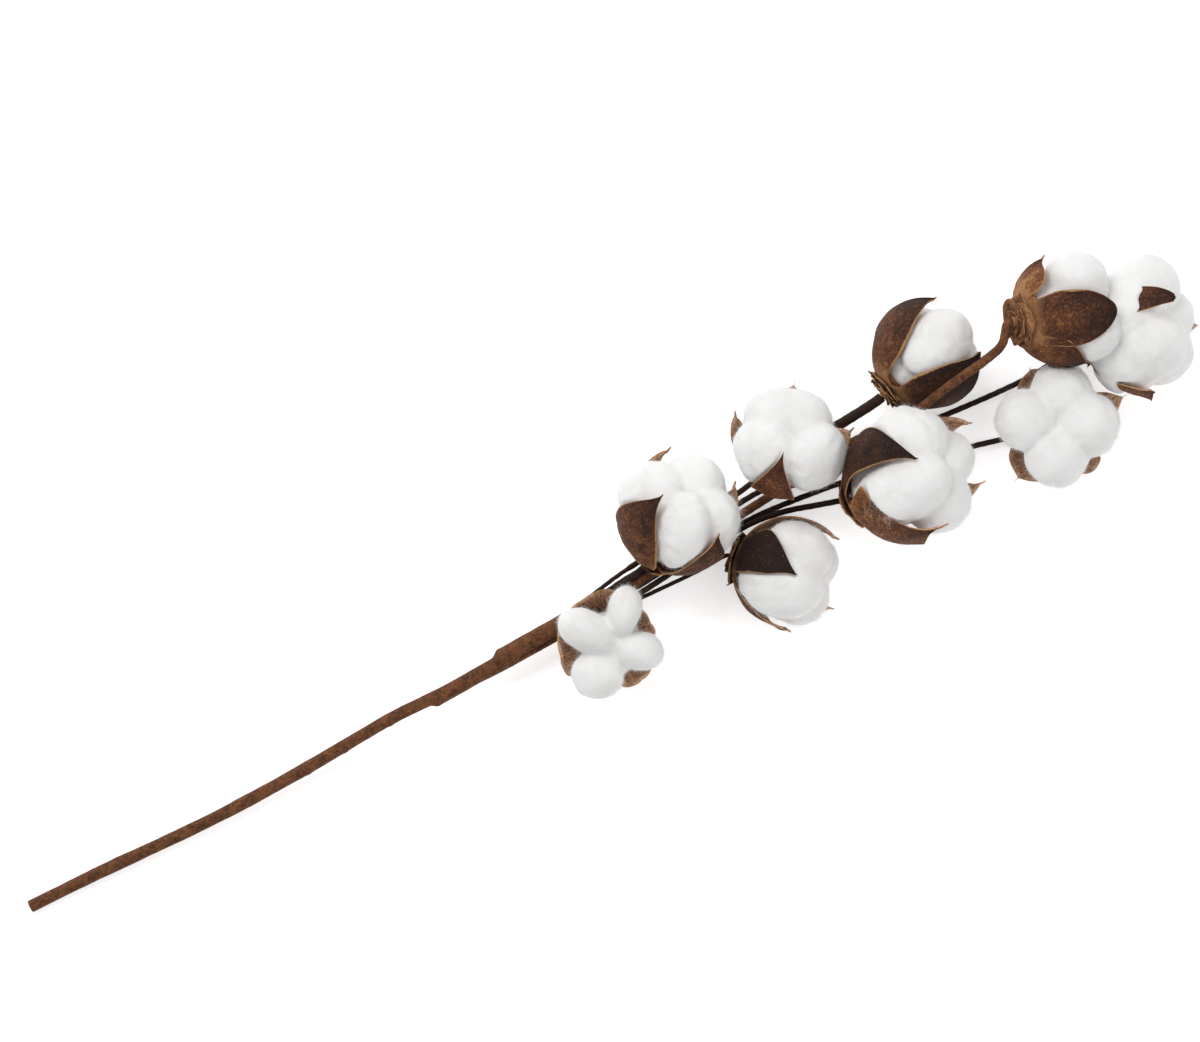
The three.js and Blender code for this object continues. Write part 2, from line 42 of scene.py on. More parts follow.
# Table, light and camera. The spray lies on a plain white table under a large soft light from the upper left
# of the picture, with bright white all round it. The camera looks straight down.
CAMERA_OVER = (0.014507, 0.024497)
CAMERA_HEIGHT = 2.2
PICTURE_TURN = math.radians(-27)
PICTURE_WIDTH = 0.492
SENSOR = 36
TABLE_SIZE = 6
ROOM_LIGHT = 0.44
PICTURE_RIGHT = Vector((math.cos(PICTURE_TURN), math.sin(PICTURE_TURN), 0))
PICTURE_UP = Vector((-math.sin(PICTURE_TURN), math.cos(PICTURE_TURN), 0))

camera = bpy.data.objects.new("camera", bpy.data.cameras.new("camera"))
camera.data.sensor_width = SENSOR
camera.data.lens = SENSOR * CAMERA_HEIGHT / PICTURE_WIDTH
camera.location = (*CAMERA_OVER, CAMERA_HEIGHT)
camera.rotation_euler = (0, 0, PICTURE_TURN)
bpy.context.scene.collection.objects.link(camera)
bpy.context.scene.camera = camera
bpy.context.scene.view_settings.view_transform = "Standard"

world = bpy.data.worlds.new("soft white room")
world.use_nodes = True
world.node_tree.nodes["Background"].inputs["Color"].default_value = (1, 1, 1, 1)
world.node_tree.nodes["Background"].inputs["Strength"].default_value = ROOM_LIGHT
bpy.context.scene.world = world


def soft_light(name, towards, height, size, power):
    """A large square light that faces the middle of the spray."""
    lamp = bpy.data.lights.new(name, "AREA")
    lamp.size = size
    lamp.energy = power
    light = bpy.data.objects.new(name, lamp)
    light.location = Vector((*CAMERA_OVER, 0)) + towards + Vector((0, 0, height))
    aim = Vector((*CAMERA_OVER, 0)) - light.location
    light.rotation_euler = aim.to_track_quat("-Z", "Y").to_euler()
    bpy.context.scene.collection.objects.link(light)


soft_light("key_light", 0.75 * PICTURE_UP - 0.45 * PICTURE_RIGHT, height=1.15, size=0.8, power=10.5)
soft_light("fill_light", 0.9 * PICTURE_RIGHT - 0.3 * PICTURE_UP, height=1.3, size=1.2, power=5.5)


class Wire:
    """A socket of a finish, which takes part in sums."""

    def __init__(self, finish, socket):
        self.finish = finish
        self.socket = socket

    def _sum(self, operation, *terms):
        return self.finish.node("ShaderNodeMath", {"operation": operation}, dict(enumerate(terms)))

    def __add__(self, other):
        return self._sum("ADD", self, other)

    def __sub__(self, other):
        return self._sum("SUBTRACT", self, other)

    def __rsub__(self, other):
        return self._sum("SUBTRACT", other, self)

    def __mul__(self, other):
        return self._sum("MULTIPLY", self, other)

    __radd__ = __add__
    __rmul__ = __mul__

    def clamped(self):
        return self.finish.node("ShaderNodeClamp", {}, {"Value": self})


# The sockets of a Mix node that mixes colours.
MIX_SHARE, MIX_FIRST, MIX_SECOND, MIX_RESULT = 0, 6, 7, 2


class Finish:
    """A material, whose nodes all come from one method."""

    def __init__(self, name):
        self.material = bpy.data.materials.new(name)
        self.material.use_nodes = True
        self.tree = self.material.node_tree
        self.shader = self.tree.nodes["Principled BSDF"]

    def node(self, kind, settings, values, output=0):
        made = self.tree.nodes.new(kind)
        for name, value in settings.items():
            if name == "stops":
                ramp = made.color_ramp
                while len(ramp.elements) < len(value):
                    ramp.elements.new(0.5)
                for stop, (place, colour) in zip(ramp.elements, value):
                    stop.position = place
                    stop.color = (*colour, 1)
            else:
                setattr(made, name, value)
        for name, value in values.items():
            self.feed(made.inputs[name], value)
        return Wire(self, made.outputs[output])

    def feed(self, socket, value):
        if isinstance(value, Wire):
            self.tree.links.new(value.socket, socket)
        elif isinstance(value, tuple) and len(value) == 3 and socket.type == "RGBA":
            socket.default_value = (*value, 1)
        else:
            socket.default_value = value

    def place(self):
        return self.node("ShaderNodeTexCoord", {}, {}, "Object")

    def mark(self, name):
        """A number that each point of the mesh carries."""
        return self.node("ShaderNodeAttribute", {"attribute_name": name}, {}, "Fac")

    def grain(self, scale, detail=3, rough=0.5, place=None, stretch=(1, 1, 1)):
        spot = place or self.place()
        spot = self.node("ShaderNodeVectorMath", {"operation": "MULTIPLY"}, {0: spot, 1: stretch})
        values = {"Vector": spot, "Scale": scale, "Detail": detail, "Roughness": rough}
        return self.node("ShaderNodeTexNoise", {}, values, "Fac")

    def step(self, value, low, high):
        """0 below low and 1 above high, or the other way round."""
        return self.node(
            "ShaderNodeMapRange", {"interpolation_type": "SMOOTHSTEP"},
            {"Value": value, "From Min": low, "From Max": high},
        )

    def ramp(self, value, stops):
        return self.node("ShaderNodeValToRGB", {"stops": stops}, {0: value}, "Color")

    def blend(self, share, first, second):
        values = {MIX_SHARE: share, MIX_FIRST: first, MIX_SECOND: second}
        return self.node("ShaderNodeMix", {"data_type": "RGBA"}, values, MIX_RESULT)

    def relief(self, height, depth, strength):
        values = {"Height": height, "Distance": depth, "Strength": strength}
        self.feed(self.shader.inputs["Normal"], self.node("ShaderNodeBump", {}, values, "Normal"))

    def wear(self, **values):
        """Sets or links sockets of the shader, named with _ for each space."""
        for name, value in values.items():
            self.feed(self.shader.inputs[name.replace("_", " ")], value)


table_white = Finish("table_white")
table_white.wear(Base_Color=(0.95, 0.95, 0.95), Roughness=0.9)
table_white.wear(Emission_Color=(1, 1, 1), Emission_Strength=0.5)
bpy.ops.mesh.primitive_plane_add(size=TABLE_SIZE, location=(*CAMERA_OVER, 0))
table = bpy.context.active_object
table.name = "table"
table.data.materials.append(table_white.material)

# The stem: a steel wire wound with brown paper tape at a slant, so that its laps show as low ridges. It is
# slim from the cut end on, thicker past a first step, and thickest where it binds the wires of the other
# bolls. Its line and radii are the part's own, in mm.
TAPE_RADII = (2.55, 3.15, 4.5)
CUT_END_X = -265
STEM_MIDDLE_LINE = [
    (CUT_END_X, -10.3, 2.42), (-233, -10.7, 3.4), (-207, -11.6, 4.1), (-181, -12.2, 5), (-157, -11.8, 6),
    (-133.5, -10.8, 7.1), (-115, -9.6, 8.2), (-97, -8.6, 9.2), (-84, -8.8, 10), (-77, -9.2, 10.5),
    (-71, -9.4, 10.9), (-60.7, -9, 11.6), (-50.5, -8.5, 12.4),
]
STEM_UPPER_LINE = [(-45, -8, 12.8), (-38, -7.4, 13.2), (-29, -7, 13.7), (-20.5, -6.7, 14.2)]
FAN_OUT = (-14, -6.4, 14.5)
STEPS_PER_SPAN = 60


def smooth_run(knots, gap):
    """Points gap mm apart along the smooth centripetal curve through the knots."""
    knots = np.array(knots, float)
    ends = np.vstack([2 * knots[0] - knots[1], knots, 2 * knots[-1] - knots[-2]])
    share = np.linspace(0, 1, STEPS_PER_SPAN, endpoint=False)[:, None]
    fine = []
    for before, start, end, after in zip(ends, ends[1:], ends[2:], ends[3:]):
        chords = ((before, start), (start, end), (end, after))
        lead, span, trail = (math.dist(a, b) ** 0.5 for a, b in chords)
        leave = (start - before) / lead - (end - before) / (lead + span) + (end - start) / span
        reach = (end - start) / span - (after - start) / (span + trail) + (after - end) / trail
        leave, reach = leave * span, reach * span
        curve = start + leave * share + (3 * (end - start) - 2 * leave - reach) * share**2
        fine.append(curve + (2 * (start - end) + leave + reach) * share**3)
    fine = np.vstack([*fine, knots[-1:]])
    length = np.concatenate([[0], np.cumsum(np.linalg.norm(np.diff(fine, axis=0), axis=1))])
    stations = np.linspace(0, length[-1], max(2, round(length[-1] / gap) + 1))
    return np.stack([np.interp(stations, length, fine[:, i]) for i in range(3)], 1), stations


SEED_SHIFT = 17.31
CELL_PRIMES = (73856093, 19349663, 83492791)
SCRAMBLE = 1274126177
LOW_BITS = 0xFFFF


def ripple(points, size, seed):
    """Smooth bumps between -1 and 1, about size apart, the same on each run."""
    cell = points / size + seed * SEED_SHIFT
    corner = np.floor(cell).astype(np.int64)
    part = cell - corner
    part = part * part * (3 - 2 * part)
    total = np.zeros(len(points))
    for offset in np.ndindex(2, 2, 2):
        x, y, z = (corner + offset).T
        mixed = (x * CELL_PRIMES[0]) ^ (y * CELL_PRIMES[1]) ^ (z * CELL_PRIMES[2])
        mixed = (mixed ^ (mixed >> 13)) * SCRAMBLE
        value = ((mixed ^ (mixed >> 16)) & LOW_BITS) / (LOW_BITS / 2) - 1
        total += value * np.prod(np.where(offset, part, 1 - part), axis=1)
    return total


def smooth_step(value, low, high):
    """0 below low, 1 above high, and smooth between."""
    share = np.clip((value - low) / (high - low), 0, 1)
    return share * share * (3 - 2 * share)


def ring_faces(rings, sides, first=0):
    """The quads between rings of points, each closed on itself."""
    ring, side = np.meshgrid(np.arange(rings - 1), np.arange(sides), indexing="ij")
    here, after = ring * sides + side, ring * sides + (side + 1) % sides
    return (np.stack([here, after, after + sides, here + sides], -1).reshape(-1, 4) + first).tolist()


def make_piece(name, points, faces, finish, nodes=(), marks=None):
    """A piece of the spray from points in mm, which rides on the spray and stands for the nodes."""
    mesh = bpy.data.meshes.new(name)
    mesh.from_pydata((np.asarray(points) * MM).tolist(), [], faces)
    mesh.polygons.foreach_set("use_smooth", np.ones(len(mesh.polygons), bool))
    for label, values in (marks or {}).items():
        mesh.attributes.new(label, "FLOAT", "POINT").data.foreach_set("value", np.asarray(values, np.float32))
    mesh.materials.append(finish.material)
    mesh.update()
    piece = bpy.data.objects.new(name, mesh)
    bpy.context.scene.collection.objects.link(piece)
    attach(piece, "root")
    if nodes:
        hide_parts(*nodes)


def wound_rod(line, stations, radius, sides, lap, ridge, seed):
    """A rod along a line, wound with tape: each lap's edge stands up by ridge, and laps lie lap mm apart.

    radius has a value for each point of the line, or for each point and side. The last result is how far
    round its lap each point lies.
    """
    ahead = np.gradient(line, axis=0)
    ahead /= np.linalg.norm(ahead, axis=1)[:, None]
    right = np.cross(ahead, (0, 0, 1.0))
    right /= np.linalg.norm(right, axis=1)[:, None]
    over = np.cross(right, ahead)
    angle = np.arange(sides) * 2 * math.pi / sides
    phase = (stations[:, None] / lap - angle[None, :] / (2 * math.pi)) % 1
    height = ridge * (1 - phase) ** 2 * np.minimum(1, phase * 9)
    ray = right[:, None] * np.cos(angle)[None, :, None] + over[:, None] * np.sin(angle)[None, :, None]
    radius = np.broadcast_to(radius.T, (sides, len(line))).T
    core = line[:, None] + ray * radius[:, :, None]
    rough = ripple(core.reshape(-1, 3), 2.6, seed) + 0.5 * ripple(core.reshape(-1, 3), 0.9, seed + 1)
    height = height + 0.45 * ridge * rough.reshape(height.shape)
    points = (core + ray * height[:, :, None]).reshape(-1, 3)
    points = np.vstack([points, line[:1], line[-1:]])
    faces = ring_faces(len(line), sides)
    last = len(points) - 1
    faces += [[last - 1, (i + 1) % sides, i] for i in range(sides)]
    top = (len(line) - 1) * sides
    faces += [[last, top + i, top + (i + 1) % sides] for i in range(sides)]
    lay = np.append(phase.reshape(-1), [0.5, 0.5])
    return points, faces, lay


def paper_finish(name, dark, light, seam, scale):
    """Wound crepe paper: mottled, with fine creases and a darker line under each lap."""
    finish = Finish(name)
    phase = finish.mark("lap")
    mottle = finish.grain(210 * scale, 4, 0.65)
    fine = finish.grain(1200 * scale, 4, 0.8, stretch=(0.6, 1, 1))
    tone = finish.ramp(mottle * 0.6 + fine * 0.9 - 0.33, [(0.26, dark), (0.6, light), (0.9, dark)])
    under = finish.step(phase + (mottle - 0.5) * 0.5, 0.88, 1.0)
    finish.wear(Base_Color=finish.blend(under * 0.45, tone, seam), Roughness=0.55 + mottle * 0.3)
    finish.relief(fine + mottle * 0.6, 0.0003, 0.6)
    finish.wear(Specular_IOR_Level=0.15)
    return finish


brown_tape = paper_finish(
    "brown_tape", dark=(0.05, 0.018, 0.009), light=(0.235, 0.095, 0.04), seam=(0.03, 0.012, 0.007), scale=1,
)
STEM_SIDES = 48
STEM_POINT_GAP = 0.7
TAPE_LAP = 11
TAPE_RIDGE = 0.07
# Each step of the tape is sharp on one side of the stem, where a flap stands up, and a slow rise on the
# other. These run from the first to the second x, in mm.
FIRST_STEP, FIRST_RISE = (-81.5, -78), (-92, -66)
SECOND_STEP, SECOND_RISE = (-50, -46), (-62, -36)
FIRST_FLAP, SECOND_FLAP = 0.8, 0.55
FIRST_FLAP_LENGTH, SECOND_FLAP_LENGTH = 4, 5
# Here a lap of the slim tape has bunched up.
LAP_BUMPS = (-138.5, -121, -99.5)
BUMP_HEIGHT = 0.5
BUMP_LENGTH = 1.1
BUMP_TURN = 0.6
UNEVEN_HEIGHT = 0.12
UNEVEN_LENGTH = 14
# A groove runs along the thick tape, where two turns of it don't meet.
SLIT_START = -41
SLIT_TURN = 0.75
SLIT_BREADTH = 0.15
SLIT_DEPTH = 1.3
SLIT_FADE = 2
stem_line, stem_stations = smooth_run([*STEM_MIDDLE_LINE, *STEM_UPPER_LINE, FAN_OUT], STEM_POINT_GAP)
stem_x = stem_line[:, :1]
stem_turn = (np.arange(STEM_SIDES) * 2 * math.pi / STEM_SIDES)[None, :]
slim, middle, thick = TAPE_RADII
near_side, far_side = (1 + np.cos(stem_turn)) / 2, (1 - np.cos(stem_turn)) / 2
first_rise = near_side * smooth_step(stem_x, *FIRST_STEP) + far_side * smooth_step(stem_x, *FIRST_RISE)
second_rise = far_side * smooth_step(stem_x, *SECOND_STEP) + near_side * smooth_step(stem_x, *SECOND_RISE)
stem_radius = slim + (middle - slim) * first_rise + (thick - middle) * second_rise
stem_radius = stem_radius + UNEVEN_HEIGHT * ripple(stem_line * (1, 0, 0), UNEVEN_LENGTH, 3)[:, None]
bump_side = np.cos(stem_turn / 2 + BUMP_TURN) ** 4
for bump in LAP_BUMPS:
    stem_radius = stem_radius + BUMP_HEIGHT * np.exp(-((stem_x - bump) / BUMP_LENGTH) ** 2) * bump_side
past_first = np.maximum(stem_x - FIRST_STEP[1], 0)
past_second = np.maximum(stem_x - SECOND_STEP[1], 0)
first_flap = smooth_step(stem_x, *FIRST_STEP) * np.exp(-past_first / FIRST_FLAP_LENGTH)
second_flap = smooth_step(stem_x, *SECOND_STEP) * np.exp(-past_second / SECOND_FLAP_LENGTH)
stem_radius = stem_radius + FIRST_FLAP * first_flap * near_side**3 + SECOND_FLAP * second_flap * far_side**3
slit_sides = np.exp(-(((stem_turn - SLIT_TURN) / SLIT_BREADTH) ** 2))
slit = slit_sides * np.clip((stem_x - SLIT_START) / SLIT_FADE, 0, 1)
stem_radius = stem_radius - SLIT_DEPTH * slit
points, faces, lay = wound_rod(stem_line, stem_stations, stem_radius, STEM_SIDES, TAPE_LAP, TAPE_RIDGE, 1)
lay = np.maximum(lay, np.append(slit.reshape(-1), [0, 0]))
make_piece("wound_stem", points, faces, brown_tape, ["stem_tape"], {"lap": lay})

# The sticks: thin steel wires wound in dark paper, one to each boll. They start inside the thick end of the
# stem tape and fan out under the bolls. The one to the top boll is the stem's own wire, and is taped brown.
STEM_WIRE_RADIUS = 1
STICK_RADIUS = 0.85
STICK_POINT_GAP = 0.8
STICK_SIDES = 14
STICK_LAP = 4.2
THICKER_RIDGE = 0.05
THICKER_RISE = 1.6
RING_RADIUS = 2.7
NECK_LENGTH = 2.6
GAP = 0.3
APPROACH = 1.5
BOUND_START = (-44.4, -7.95, 12.83)
LANE_TURN = {1: 180, 2: 90, 3: 45, 4: 225, 5: 135, 6: 0, 7: 270, 9: 315}
TOP_BOLL = 8
# The points that each stick passes, and where it is wound thicker: from what share of its length, and to what
# radius.
STICK_ROUTES = {
    1: ([(-11.5, -9.4, 14.5), (-8.5, -11.8, 13.4), (-6.4, -15.6, 10.6)], []),
    2: ([(0, -4.9, 18.3), (12, -2.4, 17.6), (21, -0.6, 16)], [(0.6, 1.3)]),
    3: ([(0, -3, 15.6), (12, -1.5, 14.2), (25, -0.4, 12), (40, 1.6, 9.4), (70, 5.2, 7.4), (83, 6, 6.8),
         (87.4, 7.2, 8.2)], [(0.34, 1.15)]),
    4: ([(-9, -8.2, 12.7), (0, -9.1, 12), (12, -10.8, 12), (25, -11.4, 12), (42, -11.8, 12)], []),
    5: ([(-7, -8.7, 16), (0, -9.2, 15.6), (12, -9.2, 15.2), (25, -8.2, 14), (40, -6.2, 12.8), (70, -4.4, 13),
         (84, -6.4, 14.4), (98, -10.4, 19.2)], [(0.34, 1.2)]),
    6: ([(0, -0.6, 13.9), (12, 1.5, 13.3), (25, 2.9, 10.6), (40, 5, 7.8), (70, 9, 7.2), (95, 13.4, 6.6),
         (110, 14.8, 9), (122, 15.4, 14.6)], [(0.32, 1.15), (0.84, 2.1)]),
    7: ([(0, -6.6, 10.8), (12, -6.6, 9.8), (25, -5.6, 8.6), (40, -4.6, 7.2), (70, -2.8, 7.6), (95, -4.6, 7),
         (120, -8, 5.6), (147, -13.5, 4.2), (176, -20.4, 3.2), (191, -24.6, 2.6)], [(0.22, 1.15)]),
    8: ([(0, -6.1, 14.4), (12, -5.2, 13.8), (25, -4, 12.8), (40, -2.2, 11.4), (70, 1, 11), (84, 2.4, 10.4),
         (100, 4.6, 9.8), (116, 6.4, 12.2), (130, 6.2, 18), (139, 6, 24.6), (147.5, 6, 33.4),
         (156, 7.6, 42.6), (165, 9.4, 47.2), (181.7, 11.9, 50), (190, 14.4, 51.6)], [(0.53, 1.8)]),
    9: ([(0, -3.8, 11.4), (12, -2.8, 10.2), (25, -1.6, 8.2), (40, 0.4, 6), (70, 1.2, 3.6), (95, 2.4, 3.4),
         (120, 3.4, 3.2), (160, -1, 3), (202, -2.6, 3.4), (216, 0, 6.4)], [(0.22, 1.15)]),
}


class Valve(typing.NamedTuple):
    """A valve of a husk.

    It lies at turn round the boll's axis, ends at reach from the stick end, and is width to either side, in
    degrees. dark goes from rusty brown at 0 to near black at 1, and its dry tip is drawn out by spur mm. It
    leans away from the cotton by lean and curls its tip out by curl, in mm. taper above 1 makes it slender.
    It is bare of cotton from the share bare_from of its length on, flat from side to side where flat is 1
    and bowed like the shell where it is 0, and its middle stands sweep degrees to one side.
    """

    turn: float
    reach: float
    width: float
    dark: float
    spur: float
    lean: float = 0
    curl: float = 0
    taper: float = 1
    bare_from: float = 0
    flat: float = 0
    sweep: float = 0


# centre, radius and axis (from the stick to the face) place a boll, as in the part's source. A lock is its
# turn, reach, how far out its middle lies, and its half-widths round the axis, along it and outward, in boll
# radii.
BOLLS = {
    1: {
        "centre": (-3.9, -22.4, 35), "radius": 20, "axis": (0.04, -0.13, 0.99),
        "valves": [
            Valve(96, 102, 34, dark=0.4, spur=1, lean=3, taper=0.9, flat=0.5),
            Valve(4, 96, 21, dark=0.4, spur=1, lean=-2.6, taper=1.2, flat=0.3),
            Valve(-76, 102, 23, dark=0.35, spur=1, lean=-2, taper=1.2, flat=0.4),
            Valve(164, 104, 29, dark=0.3, spur=1, lean=2, taper=0.9, flat=0.6),
        ],
        "locks": [
            (122, 112, 0.68, (0.42, 0.56, 0.66)), (46, 104, 0.78, (0.34, 0.54, 0.52)),
            (-36, 112, 0.6, (0.4, 0.48, 0.5)), (-146, 108, 0.7, (0.54, 0.5, 0.5)),
        ],
    },
    2: {
        "centre": (43.3, 12.6, 37), "radius": 24.5, "axis": (0.58, 0.41, 0.71),
        "valves": [
            Valve(-32, 136, 34, dark=0.4, spur=2, curl=1),
            Valve(-132, 127, 12, dark=0.95, spur=3, lean=0.5, curl=1),
            Valve(132, 128, 20, dark=0.5, spur=3, curl=1),
            Valve(52, 120, 27, dark=0.5, spur=2, lean=1, curl=1),
        ],
        "locks": [
            (-84, 108, 0.54, (0.62, 0.6, 0.56)), (178, 122, 0.54, (0.56, 0.58, 0.56)),
            (22, 112, 0.52, (0.5, 0.66, 0.56)), (94, 112, 0.56, (0.5, 0.6, 0.54)),
        ],
    },
    3: {
        "centre": (96.1, 17.9, 36), "radius": 22.5, "axis": (0.25, 0.33, 0.91),
        "valves": [
            Valve(-132, 144, 23, dark=0.3, spur=1, curl=1, taper=1.3),
            Valve(134, 108, 14, dark=0.6, spur=3, lean=1, curl=1),
            Valve(-16, 100, 22, dark=0.45, spur=3, lean=2, curl=1),
            Valve(60, 112, 13, dark=0.8, spur=4, lean=-0.5, curl=1.5),
        ],
        "locks": [
            (-172, 114, 0.54, (0.64, 0.64, 0.54)), (-62, 110, 0.6, (0.66, 0.62, 0.52)),
            (90, 112, 0.52, (0.62, 0.58, 0.54)), (42, 110, 0.5, (0.62, 0.58, 0.54)),
        ],
    },
    4: {
        "centre": (73, -28.5, 22.71), "radius": 22.5, "axis": (0.69, -0.63, 0.35),
        "valves": [
            Valve(0, 116, 25, dark=1.25, spur=1, sweep=-14),
            Valve(84, 106, 30, dark=0.6, spur=2, curl=1),
            Valve(-102, 126, 28, dark=0.7, spur=2, curl=1),
            Valve(152, 126, 24, dark=0.5, spur=2, lean=2, curl=1),
        ],
        "locks": [
            (-58, 108, 0.52, (0.52, 0.64, 0.54)), (30, 100, 0.52, (0.62, 0.78, 0.54)),
            (-140, 112, 0.52, (0.54, 0.58, 0.52)), (130, 114, 0.52, (0.54, 0.58, 0.52)),
        ],
    },
    5: {
        "centre": (132.8, -16.4, 42), "radius": 26.5, "axis": (0.79, -0.1, 0.6),
        "valves": [
            Valve(-20, 134, 24, dark=0.85, spur=1, sweep=-24),
            Valve(60, 116, 52, dark=0.25, spur=5, lean=1, curl=1.5, taper=1.45, sweep=-15),
            Valve(-146, 136, 16, dark=0.5, spur=2, lean=4, curl=2),
            Valve(150, 126, 18, dark=0.4, spur=3, lean=2, curl=1),
        ],
        "locks": [
            (-86, 116, 0.58, (0.62, 0.62, 0.54)), (14, 108, 0.54, (0.52, 0.8, 0.55)),
            (-172, 132, 0.58, (0.46, 0.5, 0.52)), (98, 126, 0.54, (0.5, 0.54, 0.54)),
        ],
    },
    6: {
        "centre": (163.6, 24.6, 22), "radius": 22.5, "axis": (0.96, 0.28, 0.02),
        "valves": [
            Valve(-62, 136, 36, dark=0.6, spur=1, lean=1),
            Valve(50, 130, 38, dark=0.95, spur=0.5, lean=1),
            Valve(138, 118, 30, dark=0.5, spur=2),
            Valve(-146, 118, 30, dark=0.5, spur=2),
        ],
        "locks": [
            (-4, 120, 0.48, (0.6, 0.78, 0.52)), (96, 116, 0.44, (0.48, 0.56, 0.52)),
            (-108, 112, 0.4, (0.46, 0.54, 0.5)), (176, 116, 0.535, (0.52, 0.58, 0.56)),
        ],
    },
    7: {
        "centre": (196.6, -25, 30), "radius": 23, "axis": (-0.07, 0.09, 0.99),
        "valves": [
            Valve(88, 94, 24, dark=0.85, spur=2, lean=1.5, taper=1.1),
            Valve(-4, 92, 17, dark=0.6, spur=3, lean=4.5, curl=1, taper=1.3),
            Valve(-76, 90, 15, dark=0.6, spur=2, taper=1.3),
            Valve(-154, 90, 26, dark=0.9, spur=4, lean=3, taper=1.3),
        ],
        "locks": [
            (146, 124, 0.68, (0.54, 0.54, 0.54)), (54, 106, 0.6, (0.55, 0.6, 0.56)),
            (-26, 110, 0.57, (0.6, 0.6, 0.57)), (-116, 110, 0.58, (0.58, 0.58, 0.56)),
        ],
    },
    8: {
        "centre": (219.5, 15, 41), "radius": 22.5, "axis": (0.88, -0.22, -0.42),
        "valves": [
            Valve(12, 118, 30, dark=0.65, spur=0.5, lean=1, taper=0.55),
            Valve(-78, 71, 27, dark=0.1, spur=2, curl=1),
            Valve(84, 98, 40, dark=0.45, spur=1, taper=0.9),
            Valve(172, 96, 30, dark=0.5, spur=2),
        ],
        "locks": [
            (-56, 110, 0.56, (0.6, 0.62, 0.54)), (54, 116, 0.56, (0.6, 0.6, 0.56)),
            (-132, 112, 0.48, (0.52, 0.56, 0.52)), (128, 112, 0.48, (0.52, 0.56, 0.52)),
        ],
    },
    9: {
        "centre": (245.9, -5.7, 25.6), "radius": 25.5, "axis": (0.8, -0.3, 0.5),
        "valves": [
            Valve(-28, 138, 16, dark=0.4, spur=0.5, curl=6, taper=0.5, bare_from=0.76),
            Valve(
                59, 105, 35, dark=0.1, spur=1, lean=4, curl=2, taper=0.85, bare_from=0.55, flat=0.3, sweep=22,
            ),
            Valve(178, 114, 30, dark=0.5, spur=1, lean=3),
            Valve(-134, 106, 26, dark=0.5, spur=2),
        ],
        "locks": [
            (-92, 100, 0.64, (0.56, 0.56, 0.54)), (34, 120, 0.54, (0.58, 0.6, 0.54)),
            (118, 110, 0.5, (0.52, 0.54, 0.52)), (-166, 108, 0.5, (0.52, 0.54, 0.5)),
            (-34, 84, 0.56, (0.66, 0.68, 0.52)), (54, 72, 0.6, (0.62, 0.58, 0.57)),
        ],
    },
}


NEARLY_UPRIGHT = 0.9


def axes_of(boll):
    """The axis of a boll and the two directions across it, from which turns count."""
    axis = np.array(boll["axis"]) / np.linalg.norm(boll["axis"])
    start = np.array((0, 0, 1.0)) if abs(axis[2]) < NEARLY_UPRIGHT else np.array((1.0, 0, 0))
    first = start - axis * (start @ axis)
    first /= np.linalg.norm(first)
    return axis, first, np.cross(axis, first)


def foot_of(boll):
    """The point just before the foot of a boll's neck, and that foot, where the stick ends."""
    axis = axes_of(boll)[0]
    foot = np.array(boll["centre"]) - axis * (boll["radius"] + NECK_LENGTH + GAP)
    return foot - axis * APPROACH, foot


dark_paper = paper_finish(
    "dark_paper", dark=(0.018, 0.0095, 0.0075), light=(0.048, 0.025, 0.017),
    seam=(0.01, 0.006, 0.005), scale=1.6,
)
for number, (route, thicker) in STICK_ROUTES.items():
    boll = BOLLS[number]
    is_top = number == TOP_BOLL
    turn = math.radians(LANE_TURN.get(number, 0))
    lane = np.array((0, math.cos(turn), math.sin(turn))) * (0 if is_top else RING_RADIUS)
    bound = [np.array(knot) + lane for knot in (BOUND_START, *STEM_UPPER_LINE[1:], FAN_OUT)]
    start = STEM_MIDDLE_LINE if is_top else []
    line, stations = smooth_run([*start, *bound, *route, *foot_of(boll)], STICK_POINT_GAP)
    share = stations / stations[-1]
    radius = np.full(len(line), STEM_WIRE_RADIUS if is_top else STICK_RADIUS)
    for begin, wider in thicker:
        grown = np.clip((share - begin) * stations[-1] / THICKER_RISE, 0, 1)
        radius = radius + (wider - radius) * grown
    ridge = TAPE_RIDGE + THICKER_RIDGE * (len(thicker) > 0)
    points, faces, lay = wound_rod(line, stations, radius, STICK_SIDES, STICK_LAP, ridge, number * 3)
    if is_top:
        make_piece("wound_stem_wire", points, faces, brown_tape, ["stem_wire"], {"lap": lay})
    else:
        name = f"wound_stick_{number}"
        make_piece(name, points, faces, dark_paper, [f"stick_{number}"], {"lap": lay})

# The husks: each is the dried shell of a boll, leathery and brown, which split into pointed valves. They
# spring from a shallow cup with a short neck and a frilled calyx, as one grown piece. Their rims and insides
# are tan.
VALVE_THICKNESS = 1.1
EDGE_THICKNESS = 0.7
VALVE_START = 26
VALVE_FOOT = 11
VALVE_ROWS = 34
VALVE_COLUMNS = 18
SPUR_ROWS = 6
RIM_SWELL = 1.03
EDGE_WAVE = 0.05
EDGE_LIFT = 0.5
SPUR_LIFT = 0.55
WRINKLE_HEIGHT = 0.16
BULGE_HEIGHT = 0.3
BULGE_SIZE = 7
RIB_HEIGHT = 0.5
RIB_BREADTH = 0.07
# How wide a valve is at shares of its length, from its foot to its tip.
WIDTH_PLACES = (-0.5, 0, 0.1, 0.2, 0.3, 0.4, 0.5, 0.6, 0.7, 0.8, 0.88, 0.94, 1)
WIDTH_SHARES = (0.6, 0.57, 0.73, 0.87, 0.955, 0.985, 0.96, 0.875, 0.72, 0.5, 0.29, 0.14, 0.04)
